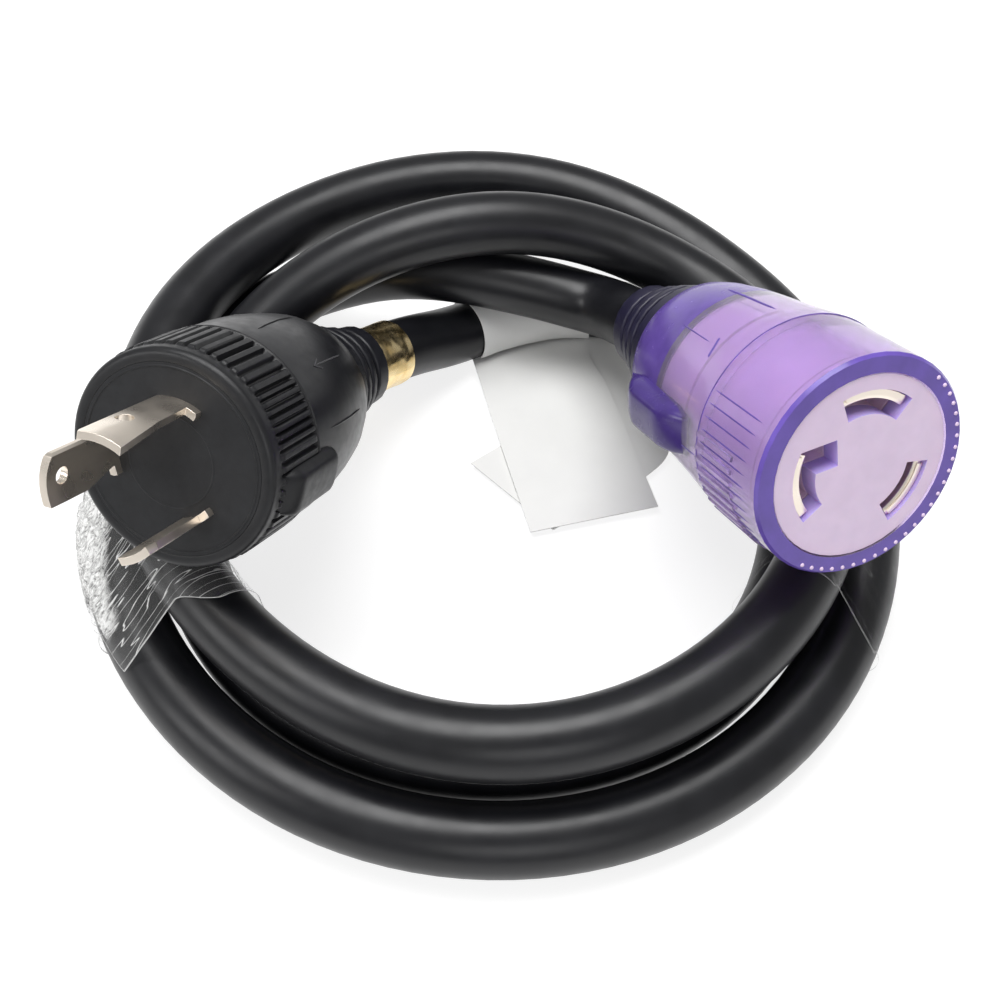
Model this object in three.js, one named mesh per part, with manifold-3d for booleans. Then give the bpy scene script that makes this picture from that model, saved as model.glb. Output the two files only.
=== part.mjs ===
// Shore power cord for a caravan or motorhome: a 17 mm three-core cord wound in three loose
// loops, with a moulded twist-lock plug on one end and a clear twist-lock connector on the
// other. Both housings lean on the coil. A folded tag hangs on the plug's lead, and two
// bands of packing film still hold the loops.
//
// Millimetres and degrees. +Z is up, the coil lies on the plane z = 0, -Y is the front.
// Round the coil, turns are counted in degrees clockwise from the back (+Y), seen from above.

import * as THREE from 'three';
import { mergeVertices } from 'three/addons/utils/BufferGeometryUtils.js';
import Module from 'manifold-3d';

// ---------------------------------------------------------------- driving dimensions

const SEAT_GAP = 0.3;             // between pieces that touch
const ROUND_FACETS = 48;          // sides of a housing's circle

// Cord and coil
const CORD_DIAMETER = 17;
const CORD_SIDES = 6;
const LOOP_STEPS = 24;            // rings in one loop of the cord
const REST_CUT = CORD_DIAMETER / 10; // depth of the flat that the coil stands on
const GROUND_REACH = 200;         // of the block that cuts that flat

// Middle line of the cord from the plug to the connector, clockwise round the coil: [turn,
// distance from the coil's middle, height above the ground]
const STATIONS = [
  // the plug's lead, under the two strands that cross it at the back
  [-24, 54.2, 12.6], [-15, 57.6, 9.9], [0, 64.1, 8.6], [15, 70.5, 8.6], [30, 74.7, 9.0], [45, 76.2, 9.5],
  [60, 75.5, 10.2], [75, 74.4, 11.0],
  // first loop, which ends in the hump over the crossing
  [90, 74.5, 11.6], [135, 77.0, 8.6], [180, 79.4, 8.5], [225, 83.0, 8.9], [270, 85.5, 14.0],
  [285, 84.1, 20.1], [300, 79.5, 29.0], [315, 72.2, 37.9], [330, 65.9, 43.9], [345, 63.4, 46.1],
  [360, 64.6, 44.9], [375, 68.5, 40.8], [390, 73.2, 35.0], [405, 77.0, 30.1], [420, 79.6, 27.6],
  [435, 80.8, 27.4],
  // second loop
  [450, 80.8, 28.2], [495, 80.6, 28.6], [540, 83.6, 29.2], [585, 83.4, 26.8], [630, 93.0, 33.4],
  [675, 103.9, 28.9], [720, 107.0, 24.6], [765, 98.4, 15.4],
  // third loop
  [810, 94.0, 11.6], [855, 95.0, 8.6], [900, 97.8, 10.4], [945, 100.6, 11.2], [990, 104.4, 11.6],
  [1020, 103.0, 10.8],
  // and on over the plug's lead to the connector
  [1035, 93.5, 14.4], [1050, 76.9, 25.1], [1065, 64.7, 28.6], [1080, 60.0, 26.6], [1095, 59.3, 24.1],
];
const LEAD_JOIN = -15;            // where the bends from the housings meet those points
const TAIL_JOIN = 1095;
const LEAD_PULL = 7;              // length of each bend's handles
const TAIL_PULL = 5;
const LEAD_STEPS = 2;
const TAIL_STEPS = 1;

// Plug: heights along its axis are counted from the face, backwards
const PLUG_FACE = [-72.1, -37.3, 69.4];
const PLUG_AZIMUTH = 247.9;
const PLUG_ELEVATION = 32.2;
const PLUG_RIM_RADIUS = 24.4;
const PLUG_SEAM_RADIUS = 24.6;
const PLUG_SEAM = 20.2;
const PLUG_SHELL_END = 62;
const PLUG_WALL = 2.6;
const PLUG_FACE_RECESS = 0.6;
const PLUG_FACE_DEPTH = 16;
const PLUG_RING_RADII = [20.6, 10.3];
const PLUG_RING_HEIGHT = 0.4;
const PLUG_RING_WIDTH = 0.7;
const PLUG_RIB_PITCH = 6.4;
const PLUG_RIB_START = 108;       // the ribs go all the way round, counted from here
const PLUG_RIB_SETBACK = 3;       // from the rim
// Outside of the rear shell: [radius, distance from the face]
const PLUG_SHELL_PROFILE = [[24.6, 30.5], [24.1, 37.5], [23.1, 44], [21.6, 51], [19.4, 57], [16.6, 62]];
const PLUG_WING_ANGLE = -4;
const PLUG_WING_SPAN = [1, 28];   // from the face, backwards
const PLUG_WING_WIDTH = 11.5;

// Blades of the plug
const BLADE_RADIUS = 13.5;
const BLADE_THICKNESS = 1.7;
const BLADE_TAIL = 22;
const BLADE_HOLE = 3.7;
const BLADE_CLEARANCE = 0.3;
const FOOT_HEIGHT = 2;
const FOOT_DEPTH = 3;             // of the foot in the insulator
const NOTCH_HEIGHT = 0.6;
const NECK_TURN = 10.5;           // degrees from the foot's edge to the neck's
const CLIP_TURN = 2;
const CLIP_HEIGHT = 1;
const TAIL_TURN = 8;
// Each blade in degrees round the plug: its notched edge, its plain edge, the notched edge's
// course from the notch to the tip and the place of the hole, both as [degrees, height]
const BLADES = {
  blade_x: { edge: 64.5, far: 110.5, course: [[74, 12], [67, 27]], hole: [96, 16.2] },
  blade_ground: { edge: 209.5, far: 158, course: [[208.4, 12.7], [207.5, 23.8]], hole: [184.5, 19] },
  blade_y: { edge: 324.5, far: 290, course: [[314, 17.5], [324.5, 20.5], [324.5, 23.6]], hole: null },
};

// Connector
const CONNECTOR_FACE = [72.8, -39.7, 70.2];
const CONNECTOR_AZIMUTH = -66.2;
const CONNECTOR_ELEVATION = 23.8;
const CONNECTOR_RIM_RADIUS = 25.5;
const CONNECTOR_SEAM_RADIUS = 25.7;
const CONNECTOR_SEAM = 23.7;
const CONNECTOR_SHELL_END = 68;
const CONNECTOR_WALL = 4.2;
const CONNECTOR_SHELL_WALL = 2.8;
const CONNECTOR_FACE_RECESS = 0.3;
const CONNECTOR_FACE_THICKNESS = 5;
const CONNECTOR_CORE_END = 34;
const CONNECTOR_RIB_PITCH = 6.7;
const CONNECTOR_RIBS = { from: 165, to: 398 };
const CONNECTOR_RIB_SETBACK = 9.5;
const CONNECTOR_SHELL_PROFILE = [
  [25.2, 29], [24.4, 36], [23.2, 48], [22.6, 53], [21.2, 61], [19.8, 66], [18.4, 68],
];
const CONNECTOR_WING_ANGLE = 176;
const CONNECTOR_WING_SPAN = [31, 58];
const CONNECTOR_WING_WIDTH = 11;
const WING_RADIUS = 27.6;         // top of a thumb wing, from the housing's axis
const WING_RAMP = { length: 10, drop: 2.4 };  // at its front end
const WING_BACK = { length: 4, drop: 1.6 };
const SHELL_MOUTH = 9;            // radius of the opening for the cores

// Slots of the connector
const SLOT_OUTER_RADIUS = 17.5;
const SLOT_WIDTH = 5.4;
// Arc of each slot in degrees, and its outer radius
const SLOTS = {
  x: { from: 43, to: 103, outer: SLOT_OUTER_RADIUS },
  ground: { from: 149, to: 210, outer: SLOT_OUTER_RADIUS - 1 },
  y: { from: -67, to: -15, outer: SLOT_OUTER_RADIUS },
};
const HOOK_ACROSS = [-14, -5.5];  // notch for the hooked blade, at the ground slot's upper end
const HOOK_UP = [2.4, 8.6];
const CONTACT_THICKNESS = 1.3;
const CONTACT_LENGTH = 36;
const CONTACT_RECESS = 1.2;
const CONTACT_MARGIN = 4;         // degrees short of the slot's ends

// Ribs on both grips
const RIB_HEIGHT = 0.7;
const RIB_SHARE = 0.55;           // of the pitch

// Strain reliefs, bent along an arc towards the cord
const RELIEF_LENGTH = 25;
const PLUG_RELIEF_BEND = { by: 20, towards: 28 };  // towards: from the right, seen from the front
const CONNECTOR_RELIEF_BEND = { by: 8, towards: 185 };
const PLUG_RELIEF_RADII = [16, 10.4];
const CONNECTOR_RELIEF_RADII = [17.4, 10.8];
const RELIEF_FACETS = 24;
const RELIEF_COLLAR = 5;
const RELIEF_TIP = 3;
const RELIEF_GROOVES = 3;
const RELIEF_GROOVE_DEPTH = 1.5;

// Foil band on the plug's lead, labels
const BAND_START = 0.6;           // from the strain relief
const BAND_LENGTH = 11;
const BAND_WALL = 0.5;
const BAND_SIDES = 12;
const LABEL_WALL = 0.4;
const LABEL_GIRTH = 240;          // degrees of the cord that a label covers
const LABEL_TURNS = [-12, 0, 15, 20];
const SECOND_LABEL_TURNS = [26, 30, 42];
// Rows of each leaf from its wrap to its free end, in [x, y, height] of the underside
const LEAF_HEIGHT = 2.45;
const LABEL_ROWS = [
  [[-10.6, 50.0, 4.3], [1.0, 55.8, 3.25], [21.8, 59.6, 3.75]],
  [[-9.3, 46.0, 3.1], [6.5, 49.5, 2.7], [24.6, 51.5, 2.6]],
  [[-4.9, 29.0, LEAF_HEIGHT], [12.2, 34.2, LEAF_HEIGHT], [29.4, 39.5, LEAF_HEIGHT]],
  [[5.5, -9.8, LEAF_HEIGHT], [22.9, -5.5, LEAF_HEIGHT], [40.3, -1.3, LEAF_HEIGHT]],
];
const SECOND_LEAF_HEIGHT = 1.75;
const SECOND_LABEL_ROWS = [
  [[28.6, 58.4, 4.1], [45.0, 49.9, 4.3]],
  [[25.5, 48.0, SECOND_LEAF_HEIGHT], [43.0, 34.0, SECOND_LEAF_HEIGHT]],
  [[20.0, 38.0, SECOND_LEAF_HEIGHT], [43.0, 14.6, SECOND_LEAF_HEIGHT]],
  [[-10.9, 14.0, SECOND_LEAF_HEIGHT], [11.6, -8.6, SECOND_LEAF_HEIGHT]],
];

// Packing film round the coil
const FILM_WALL = 0.35;
const FILM_GAP = 1.1;             // it lies loosely
const FILM_START = -48;           // in degrees from straight out, over the top
const FILM_PITCH = 13.7;          // degrees of girth between its folds
// Stretches of each film: its turns, and how many folds round the loops it reaches there. The
// long stretches end short of the housings.
const LEFT_FILM = [
  { turns: [236, 240, 243.5], folds: 20 },
  { turns: [240, 243.5, 247, 252, 257, 262], folds: 9 },
];
const RIGHT_FILM = [
  { turns: [95, 100, 105, 111, 118.5, 122], folds: 9 },
  { turns: [118.5, 122], folds: 20 },
];

// Cores of the cord inside the housings
const CORE_RADIUS = 1.8;
const CORE_SPREAD = 4.4;

// ---------------------------------------------------------------- geometry helpers

const wasm = await Module();
wasm.setup();

const radians = THREE.MathUtils.degToRad;
const UP = new THREE.Vector3(0, 0, 1);

function signedVolume(position, index) {
  const [a, b, c] = [0, 1, 2].map(() => new THREE.Vector3());
  let sum = 0;
  for (let i = 0; i < index.length; i += 3) {
    a.fromBufferAttribute(position, index[i]);
    b.fromBufferAttribute(position, index[i + 1]);
    c.fromBufferAttribute(position, index[i + 2]);
    sum += a.dot(b.cross(c)) / 6;
  }
  return sum;
}

// A closed three.js geometry as a solid that can be joined and cut.
function solid(geometry) {
  const bare = new THREE.BufferGeometry();
  bare.setAttribute('position', geometry.getAttribute('position'));
  if (geometry.index) bare.setIndex(geometry.index);
  const merged = mergeVertices(bare, 1e-4);
  const source = merged.index.array;
  const index = [];
  for (let i = 0; i < source.length; i += 3) {
    const [a, b, c] = [source[i], source[i + 1], source[i + 2]];
    if (a !== b && b !== c && c !== a) index.push(a, b, c);
  }
  if (signedVolume(merged.getAttribute('position'), index) < 0) index.reverse();
  return new wasm.Manifold(new wasm.Mesh({
    numProp: 3,
    vertProperties: new Float32Array(merged.getAttribute('position').array),
    triVerts: new Uint32Array(index),
  }));
}

function geometryOf(body) {
  const mesh = body.getMesh();
  const geometry = new THREE.BufferGeometry();
  geometry.setAttribute('position', new THREE.BufferAttribute(Float32Array.from(mesh.vertProperties), 3));
  geometry.setIndex(new THREE.BufferAttribute(Uint32Array.from(mesh.triVerts), 1));
  geometry.computeVertexNormals();
  return geometry;
}

// Skin over rings of equal count. A loop of rings closes on itself, like a sleeve's wall;
// otherwise the two end rings are capped.
function loft(rings, closed = false) {
  const count = rings[0].length;
  const points = rings.flat();
  const index = [];
  const spans = closed ? rings.length : rings.length - 1;
  for (let i = 0; i < spans; i += 1) {
    const here = i * count;
    const next = ((i + 1) % rings.length) * count;
    for (let j = 0; j < count; j += 1) {
      const k = (j + 1) % count;
      index.push(here + j, here + k, next + k, here + j, next + k, next + j);
    }
  }
  if (!closed) {
    const last = (rings.length - 1) * count;
    for (let j = 1; j < count - 1; j += 1) {
      index.push(0, j + 1, j);
      index.push(last, last + j, last + j + 1);
    }
  }
  const geometry = new THREE.BufferGeometry();
  geometry.setFromPoints(points);
  geometry.setIndex(index);
  return solid(geometry);
}

// A sheet between two grids of points, one for each face, closed along its four edges.
function sheet(upper, lower) {
  const rows = upper.length;
  const columns = upper[0].length;
  const index = [];
  const at = (face, i, j) => (face * rows + i) * columns + j;
  const quad = (a, b, c, d) => index.push(a, b, c, a, c, d);
  for (let i = 0; i < rows; i += 1) {
    for (let j = 0; j < columns; j += 1) {
      const [onLastRow, onLastColumn] = [i === rows - 1, j === columns - 1];
      if (!onLastRow && !onLastColumn) {
        quad(at(0, i, j), at(0, i, j + 1), at(0, i + 1, j + 1), at(0, i + 1, j));
        quad(at(1, i, j), at(1, i + 1, j), at(1, i + 1, j + 1), at(1, i, j + 1));
      }
      if (!onLastColumn && i === 0) quad(at(0, i, j), at(1, i, j), at(1, i, j + 1), at(0, i, j + 1));
      if (!onLastColumn && onLastRow) quad(at(0, i, j), at(0, i, j + 1), at(1, i, j + 1), at(1, i, j));
      if (!onLastRow && j === 0) quad(at(0, i, j), at(0, i + 1, j), at(1, i + 1, j), at(1, i, j));
      if (!onLastRow && onLastColumn) quad(at(0, i, j), at(1, i, j), at(1, i + 1, j), at(0, i + 1, j));
    }
  }
  const geometry = new THREE.BufferGeometry();
  geometry.setFromPoints([...upper.flat(), ...lower.flat()]);
  geometry.setIndex(index);
  return solid(geometry);
}

// A turned solid about +Z from [radius, height] points.
function revolve(profile, facets = ROUND_FACETS, closed = false) {
  const points = profile.map(([r, z]) => new THREE.Vector2(r, z));
  if (closed) points.push(points[0].clone());
  return solid(new THREE.LatheGeometry(points, facets).rotateX(Math.PI / 2));
}

// An upright prism between two heights.
function prism(shape, low, high, curveSegments = 12) {
  const geometry = new THREE.ExtrudeGeometry(shape, {
    depth: high - low,
    bevelEnabled: false,
    curveSegments,
  });
  return solid(geometry.translate(0, 0, low));
}

const polar = (radius, degrees) => [radius * Math.cos(radians(degrees)), radius * Math.sin(radians(degrees))];

function disc(radius, front, back) {
  return revolve([[0, front], [radius, front], [radius, back], [0, back]]);
}

// Part of a ring between two radii and two angles.
function sectorShape(inner, outer, from, to) {
  const steps = Math.max(2, Math.ceil((to - from) / 7.5));
  const shape = new THREE.Shape();
  shape.moveTo(...polar(outer, from));
  for (let i = 1; i <= steps; i += 1) shape.lineTo(...polar(outer, from + (to - from) * i / steps));
  for (let i = steps; i >= 0; i -= 1) shape.lineTo(...polar(inner, from + (to - from) * i / steps));
  shape.closePath();
  return shape;
}

function block(x, y, z) {
  return solid(new THREE.BoxGeometry(x[1] - x[0], y[1] - y[0], z[1] - z[0])
    .translate((x[0] + x[1]) / 2, (y[0] + y[1]) / 2, (z[0] + z[1]) / 2));
}

function turned(body, degrees) {
  return body.rotate([0, 0, degrees]);
}

// ---------------------------------------------------------------- materials

const plastic = (color, roughness, opacity = 1) => new THREE.MeshStandardMaterial({
  color,
  roughness,
  metalness: 0,
  opacity,
  transparent: opacity < 1,
});
const metal = (color, roughness) => new THREE.MeshStandardMaterial({ color, roughness, metalness: 1 });

const FINISH = {
  cord: plastic(0x1b1c24, 0.45),
  plugFront: plastic(0x2a2b33, 0.5),
  plugShell: plastic(0x30313a, 0.4),
  relief: plastic(0x2b2a3c, 0.5),
  blade: metal(0xc9a76a, 0.3),
  clear: plastic(0x8f6fd0, 0.15, 0.6),
  lilac: plastic(0xc9addf, 0.35),
  foil: metal(0xd9b45f, 0.35),
  paper: plastic(0xe9e8e4, 0.7),
  film: plastic(0xf2f2f6, 0.1, 0.3),
  live: plastic(0x202024, 0.5),
  neutral: plastic(0xe8e8e8, 0.5),
  earth: plastic(0x2f8f4a, 0.5),
};

const part = new THREE.Group();

function addMesh(group, name, body, material) {
  const mesh = new THREE.Mesh(geometryOf(body), material);
  mesh.name = name;
  group.add(mesh);
  return mesh;
}

// A housing's own frame: +Z out of the face, +X to the right and +Y up, seen from the front.
function housingFrame(face, azimuth, elevation) {
  const group = new THREE.Group();
  group.position.set(...face);
  group.rotation.set(radians(90 - elevation), 0, radians(azimuth + 90), 'ZXY');
  group.updateMatrixWorld(true);
  part.add(group);
  return group;
}

// ---------------------------------------------------------------- shared shapes of both housings

// Front sleeve of a grip: a ring with fine straight ribs over part of its girth.
function grip({ rim, seam, depth, wall, pitch, from, to, ribStart }) {
  const inner = rim - wall;
  const ring = revolve([
    [inner, 0], [rim - 0.6, 0], [rim, -0.8], [seam, -depth], [inner, -depth],
  ], ROUND_FACETS, true);
  const ribs = [];
  const count = Math.floor((to - from) / pitch);
  const half = pitch * RIB_SHARE / 2;
  for (let i = 0; i <= count; i += 1) {
    const angle = from + i * pitch;
    const shape = new THREE.Shape();
    shape.moveTo(...polar(rim - 0.8, angle - half));
    shape.lineTo(...polar(rim + RIB_HEIGHT, angle - half * 0.6));
    shape.lineTo(...polar(rim + RIB_HEIGHT, angle + half * 0.6));
    shape.lineTo(...polar(rim - 0.8, angle + half));
    shape.closePath();
    ribs.push(prism(shape, -depth, -ribStart));
  }
  return wasm.Manifold.union([ring, ...ribs]);
}

// Thumb wing that rises along a housing's side, on the +X side before it is turned.
function wing(angle, root, [from, to], width) {
  const side = new THREE.Shape([
    new THREE.Vector2(root, -from),
    new THREE.Vector2(WING_RADIUS - WING_RAMP.drop, -from),
    new THREE.Vector2(WING_RADIUS, -from - WING_RAMP.length),
    new THREE.Vector2(WING_RADIUS, -to + WING_BACK.length),
    new THREE.Vector2(WING_RADIUS - WING_BACK.drop, -to),
    new THREE.Vector2(root, -to),
  ]);
  const slab = solid(new THREE.ExtrudeGeometry(side, { depth: width, bevelEnabled: false })
    .translate(0, 0, -width / 2)
    .rotateX(Math.PI / 2));
  return turned(slab, angle);
}

// Point and direction on the middle line of a bent strain relief, a distance along it.
function reliefPoint(start, { by, towards }, along) {
  const radius = RELIEF_LENGTH / radians(by);
  const turn = along / radius;
  const side = new THREE.Vector3(...polar(1, towards), 0);
  const back = new THREE.Vector3(0, 0, -1);
  const point = new THREE.Vector3(0, 0, -start)
    .addScaledVector(side, radius * (1 - Math.cos(turn)))
    .addScaledVector(back, radius * Math.sin(turn));
  const direction = back.multiplyScalar(Math.cos(turn)).addScaledVector(side, Math.sin(turn));
  return { point, direction };
}

// Radii along a strain relief: a collar, then grooves between rings that grow smaller.
function reliefStations([wide, narrow]) {
  const stations = [[0, wide - 0.6], [1, wide], [RELIEF_COLLAR, wide - 0.4]];
  const pitch = (RELIEF_LENGTH - RELIEF_COLLAR - RELIEF_TIP) / RELIEF_GROOVES;
  for (let i = 0; i < RELIEF_GROOVES; i += 1) {
    const start = RELIEF_COLLAR + i * pitch;
    const ring = THREE.MathUtils.lerp(wide, narrow + 1, (i + 1) / RELIEF_GROOVES);
    stations.push([start + 0.7, ring - RELIEF_GROOVE_DEPTH], [start + pitch * 0.45, ring - RELIEF_GROOVE_DEPTH]);
    stations.push([start + pitch * 0.45 + 0.7, ring], [start + pitch, ring - 0.3]);
  }
  stations.push([RELIEF_LENGTH - 1, narrow + 0.5], [RELIEF_LENGTH, narrow]);
  return stations;
}

// A bent strain relief from [distance, radius] stations.
function relief(start, bend, stations) {
  const across = new THREE.Vector3(...polar(1, bend.towards + 90), 0);
  const rings = stations.map(([along, radius]) => {
    const { point, direction } = reliefPoint(start, bend, along);
    const other = new THREE.Vector3().crossVectors(direction, across);
    return Array.from({ length: RELIEF_FACETS }, (unused, j) => {
      const angle = 2 * Math.PI * j / RELIEF_FACETS;
      return point.clone()
        .addScaledVector(across, radius * Math.cos(angle))
        .addScaledVector(other, radius * Math.sin(angle));
    });
  });
  return loft(rings);
}

// One core of the cord, from its terminal to the strain relief.
function core(from, to) {
  const middle = from.clone().lerp(to, 0.5);
  middle.x = (from.x + middle.x) / 2;
  middle.y = (from.y + middle.y) / 2;
  const curve = new THREE.CubicBezierCurve3(
    from,
    new THREE.Vector3(from.x, from.y, middle.z),
    new THREE.Vector3(to.x, to.y, middle.z),
    to,
  );
  const shape = new THREE.Shape();
  for (let j = 0; j < 8; j += 1) {
    const [x, y] = polar(CORE_RADIUS, 45 * j);
    if (j === 0) shape.moveTo(x, y);
    else shape.lineTo(x, y);
  }
  shape.closePath();
  return solid(new THREE.ExtrudeGeometry(shape, { steps: 10, extrudePath: curve, bevelEnabled: false }));
}

// ---------------------------------------------------------------- plug

const plug = housingFrame(PLUG_FACE, PLUG_AZIMUTH, PLUG_ELEVATION);

// The band's thumb wings reach back over the seam, clear of the rear shell.
function plugBand() {
  const band = grip({
    rim: PLUG_RIM_RADIUS,
    seam: PLUG_SEAM_RADIUS,
    depth: PLUG_SEAM,
    wall: PLUG_WALL,
    pitch: PLUG_RIB_PITCH,
    from: PLUG_RIB_START - 360,
    to: PLUG_RIB_START - PLUG_RIB_PITCH / 2,
    ribStart: PLUG_RIB_SETBACK,
  });
  const root = PLUG_RIM_RADIUS - PLUG_WALL / 2;
  const wings = [0, 180].map((side) => wing(PLUG_WING_ANGLE + side, root, PLUG_WING_SPAN, PLUG_WING_WIDTH));
  const room = disc(PLUG_SEAM_RADIUS + SEAT_GAP, -PLUG_SEAM, -PLUG_SHELL_END);
  return wasm.Manifold.union([band, ...wings.map((body) => body.subtract(room))]);
}
addMesh(plug, 'plug_grip_band', plugBand(), FINISH.plugFront);

// Outline of a blade as [degrees, height], from its notched edge: a foot, a locking notch, a
// head with a clipped corner, and a narrow tail in the insulator.
function bladeOutline({ edge, far, course }) {
  const way = Math.sign(far - edge);
  const neck = edge + way * NECK_TURN;
  const length = course.at(-1)[1];
  return [
    [neck, -BLADE_TAIL], [neck, -FOOT_DEPTH], [edge, -FOOT_DEPTH], [edge, FOOT_HEIGHT],
    [neck, FOOT_HEIGHT], [neck, FOOT_HEIGHT + NOTCH_HEIGHT], ...course,
    [far - way * CLIP_TURN, length], [far, length - CLIP_HEIGHT], [far, -FOOT_DEPTH],
    [far - way * TAIL_TURN, -FOOT_DEPTH], [far - way * TAIL_TURN, -BLADE_TAIL],
  ];
}

// A blade: a strip of its arc, cut to its outline, which stands across the arc's middle.
function blade(sizes) {
  const { edge, far, course, hole } = sizes;
  const middle = (edge + far) / 2;
  const inner = BLADE_RADIUS - BLADE_THICKNESS / 2;
  const arc = sectorShape(inner, inner + BLADE_THICKNESS, Math.min(edge, far), Math.max(edge, far));
  const strip = prism(arc, -BLADE_TAIL, course.at(-1)[1]);
  const across = (angle) => BLADE_RADIUS * Math.sin(radians(angle - middle));
  const shape = new THREE.Shape(bladeOutline(sizes).map(([angle, z]) => new THREE.Vector2(across(angle), z)));
  if (hole !== null) {
    const opening = new THREE.Path();
    opening.absarc(across(hole[0]), hole[1], BLADE_HOLE / 2, 0, 2 * Math.PI);
    shape.holes.push(opening);
  }
  const cutter = solid(new THREE.ExtrudeGeometry(shape, {
    depth: 2 * BLADE_RADIUS,
    bevelEnabled: false,
    curveSegments: 8,
  }).rotateX(Math.PI / 2).rotateZ(Math.PI));
  return strip.intersect(turned(cutter, middle - 90));
}

for (const [name, sizes] of Object.entries(BLADES)) {
  addMesh(plug, name, blade(sizes), FINISH.blade);
}

// Insulator behind the rim, with ring lines on its face and a slot for each blade.
function plugFace() {
  const radius = PLUG_RIM_RADIUS - PLUG_WALL - SEAT_GAP;
  const front = -PLUG_FACE_RECESS;
  let body = revolve([
    [0, front], [radius, front], [radius, front - PLUG_FACE_DEPTH], [0, front - PLUG_FACE_DEPTH],
  ]);
  for (const ring of PLUG_RING_RADII) {
    const outer = Math.min(ring + PLUG_RING_WIDTH / 2, radius);
    body = body.add(revolve([
      [outer - PLUG_RING_WIDTH, front - 1], [outer, front - 1],
      [outer, front + PLUG_RING_HEIGHT], [outer - PLUG_RING_WIDTH, front + PLUG_RING_HEIGHT],
    ], ROUND_FACETS, true));
  }
  const inner = BLADE_RADIUS - BLADE_THICKNESS / 2 - BLADE_CLEARANCE;
  const outer = BLADE_RADIUS + BLADE_THICKNESS / 2 + BLADE_CLEARANCE;
  const margin = THREE.MathUtils.radToDeg(2 * BLADE_CLEARANCE / BLADE_RADIUS);
  for (const { edge, far } of Object.values(BLADES)) {
    const [from, to] = [Math.min(edge, far) - margin, Math.max(edge, far) + margin];
    body = body.subtract(prism(sectorShape(inner, outer, from, to), front - PLUG_FACE_DEPTH - 1, 1));
  }
  return body;
}
addMesh(plug, 'plug_face', plugFace(), FINISH.plugFront);

// Rear shell: hollow, drawn in to the strain relief.
function rearShell(radius, seam, profile, wall) {
  const outer = [[radius, -seam - SEAT_GAP], ...profile.map(([r, depth]) => [r, -depth])];
  const inner = outer.map(([r, z]) => [Math.max(r - wall, SHELL_MOUTH), z]).reverse();
  return revolve([...outer, ...inner], ROUND_FACETS, true);
}

const plugShell = rearShell(PLUG_SEAM_RADIUS, PLUG_SEAM, PLUG_SHELL_PROFILE, PLUG_WALL);
addMesh(plug, 'plug_rear_shell', plugShell, FINISH.plugShell);

addMesh(
  plug,
  'plug_strain_relief',
  relief(PLUG_SHELL_END + SEAT_GAP, PLUG_RELIEF_BEND, reliefStations(PLUG_RELIEF_RADII)),
  FINISH.relief,
);

const CORE_COLOURS = { x: FINISH.live, y: FINISH.neutral, ground: FINISH.earth };
const BLADE_OF_CORE = { x: 'blade_x', y: 'blade_y', ground: 'blade_ground' };
for (const [key, name] of Object.entries(BLADE_OF_CORE)) {
  const { edge, far } = BLADES[name];
  const angle = (edge + far) / 2;
  const start = new THREE.Vector3(...polar(BLADE_RADIUS, angle), -BLADE_TAIL - SEAT_GAP);
  const end = new THREE.Vector3(...polar(CORE_SPREAD, angle), -PLUG_SHELL_END);
  addMesh(plug, `plug_core_${key}`, core(start, end), CORE_COLOURS[key]);
}

// ---------------------------------------------------------------- connector

const connector = housingFrame(CONNECTOR_FACE, CONNECTOR_AZIMUTH, CONNECTOR_ELEVATION);

addMesh(connector, 'connector_sleeve', grip({
  rim: CONNECTOR_RIM_RADIUS,
  seam: CONNECTOR_SEAM_RADIUS,
  depth: CONNECTOR_SEAM,
  wall: CONNECTOR_WALL,
  pitch: CONNECTOR_RIB_PITCH,
  ...CONNECTOR_RIBS,
  ribStart: CONNECTOR_RIB_SETBACK,
}), FINISH.clear);

function slots(low, high) {
  const cuts = Object.values(SLOTS).map(({ from, to, outer }) => (
    prism(sectorShape(outer - SLOT_WIDTH, outer, from, to), low, high)
  ));
  return wasm.Manifold.union([...cuts, block(HOOK_ACROSS, HOOK_UP, [low, high])]);
}

const CONNECTOR_BORE = CONNECTOR_RIM_RADIUS - CONNECTOR_WALL - SEAT_GAP;

function connectorFace() {
  const front = -CONNECTOR_FACE_RECESS;
  const back = front - CONNECTOR_FACE_THICKNESS;
  return disc(CONNECTOR_BORE, front, back).subtract(slots(back - 1, front + 1));
}
addMesh(connector, 'connector_face', connectorFace(), FINISH.lilac);

const CORE_FRONT = -CONNECTOR_FACE_RECESS - CONNECTOR_FACE_THICKNESS - SEAT_GAP;

function connectorCore() {
  const back = -CONNECTOR_CORE_END;
  const body = disc(CONNECTOR_BORE, CORE_FRONT, back);
  return body.subtract(slots(back - 1, CORE_FRONT + 1));
}
addMesh(connector, 'connector_inner_body', connectorCore(), FINISH.lilac);

function connectorShell() {
  const wall = CONNECTOR_SHELL_WALL;
  const shell = rearShell(CONNECTOR_SEAM_RADIUS, CONNECTOR_SEAM, CONNECTOR_SHELL_PROFILE, wall);
  const root = CONNECTOR_SEAM_RADIUS - wall;
  const wings = [0, 180].map((side) => (
    wing(CONNECTOR_WING_ANGLE + side, root, CONNECTOR_WING_SPAN, CONNECTOR_WING_WIDTH)
  ));
  return wasm.Manifold.union([shell, ...wings]);
}
addMesh(connector, 'connector_rear_shell', connectorShell(), FINISH.clear);

addMesh(
  connector,
  'connector_strain_relief',
  relief(CONNECTOR_SHELL_END + SEAT_GAP, CONNECTOR_RELIEF_BEND, reliefStations(CONNECTOR_RELIEF_RADII)),
  FINISH.relief,
);

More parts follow.
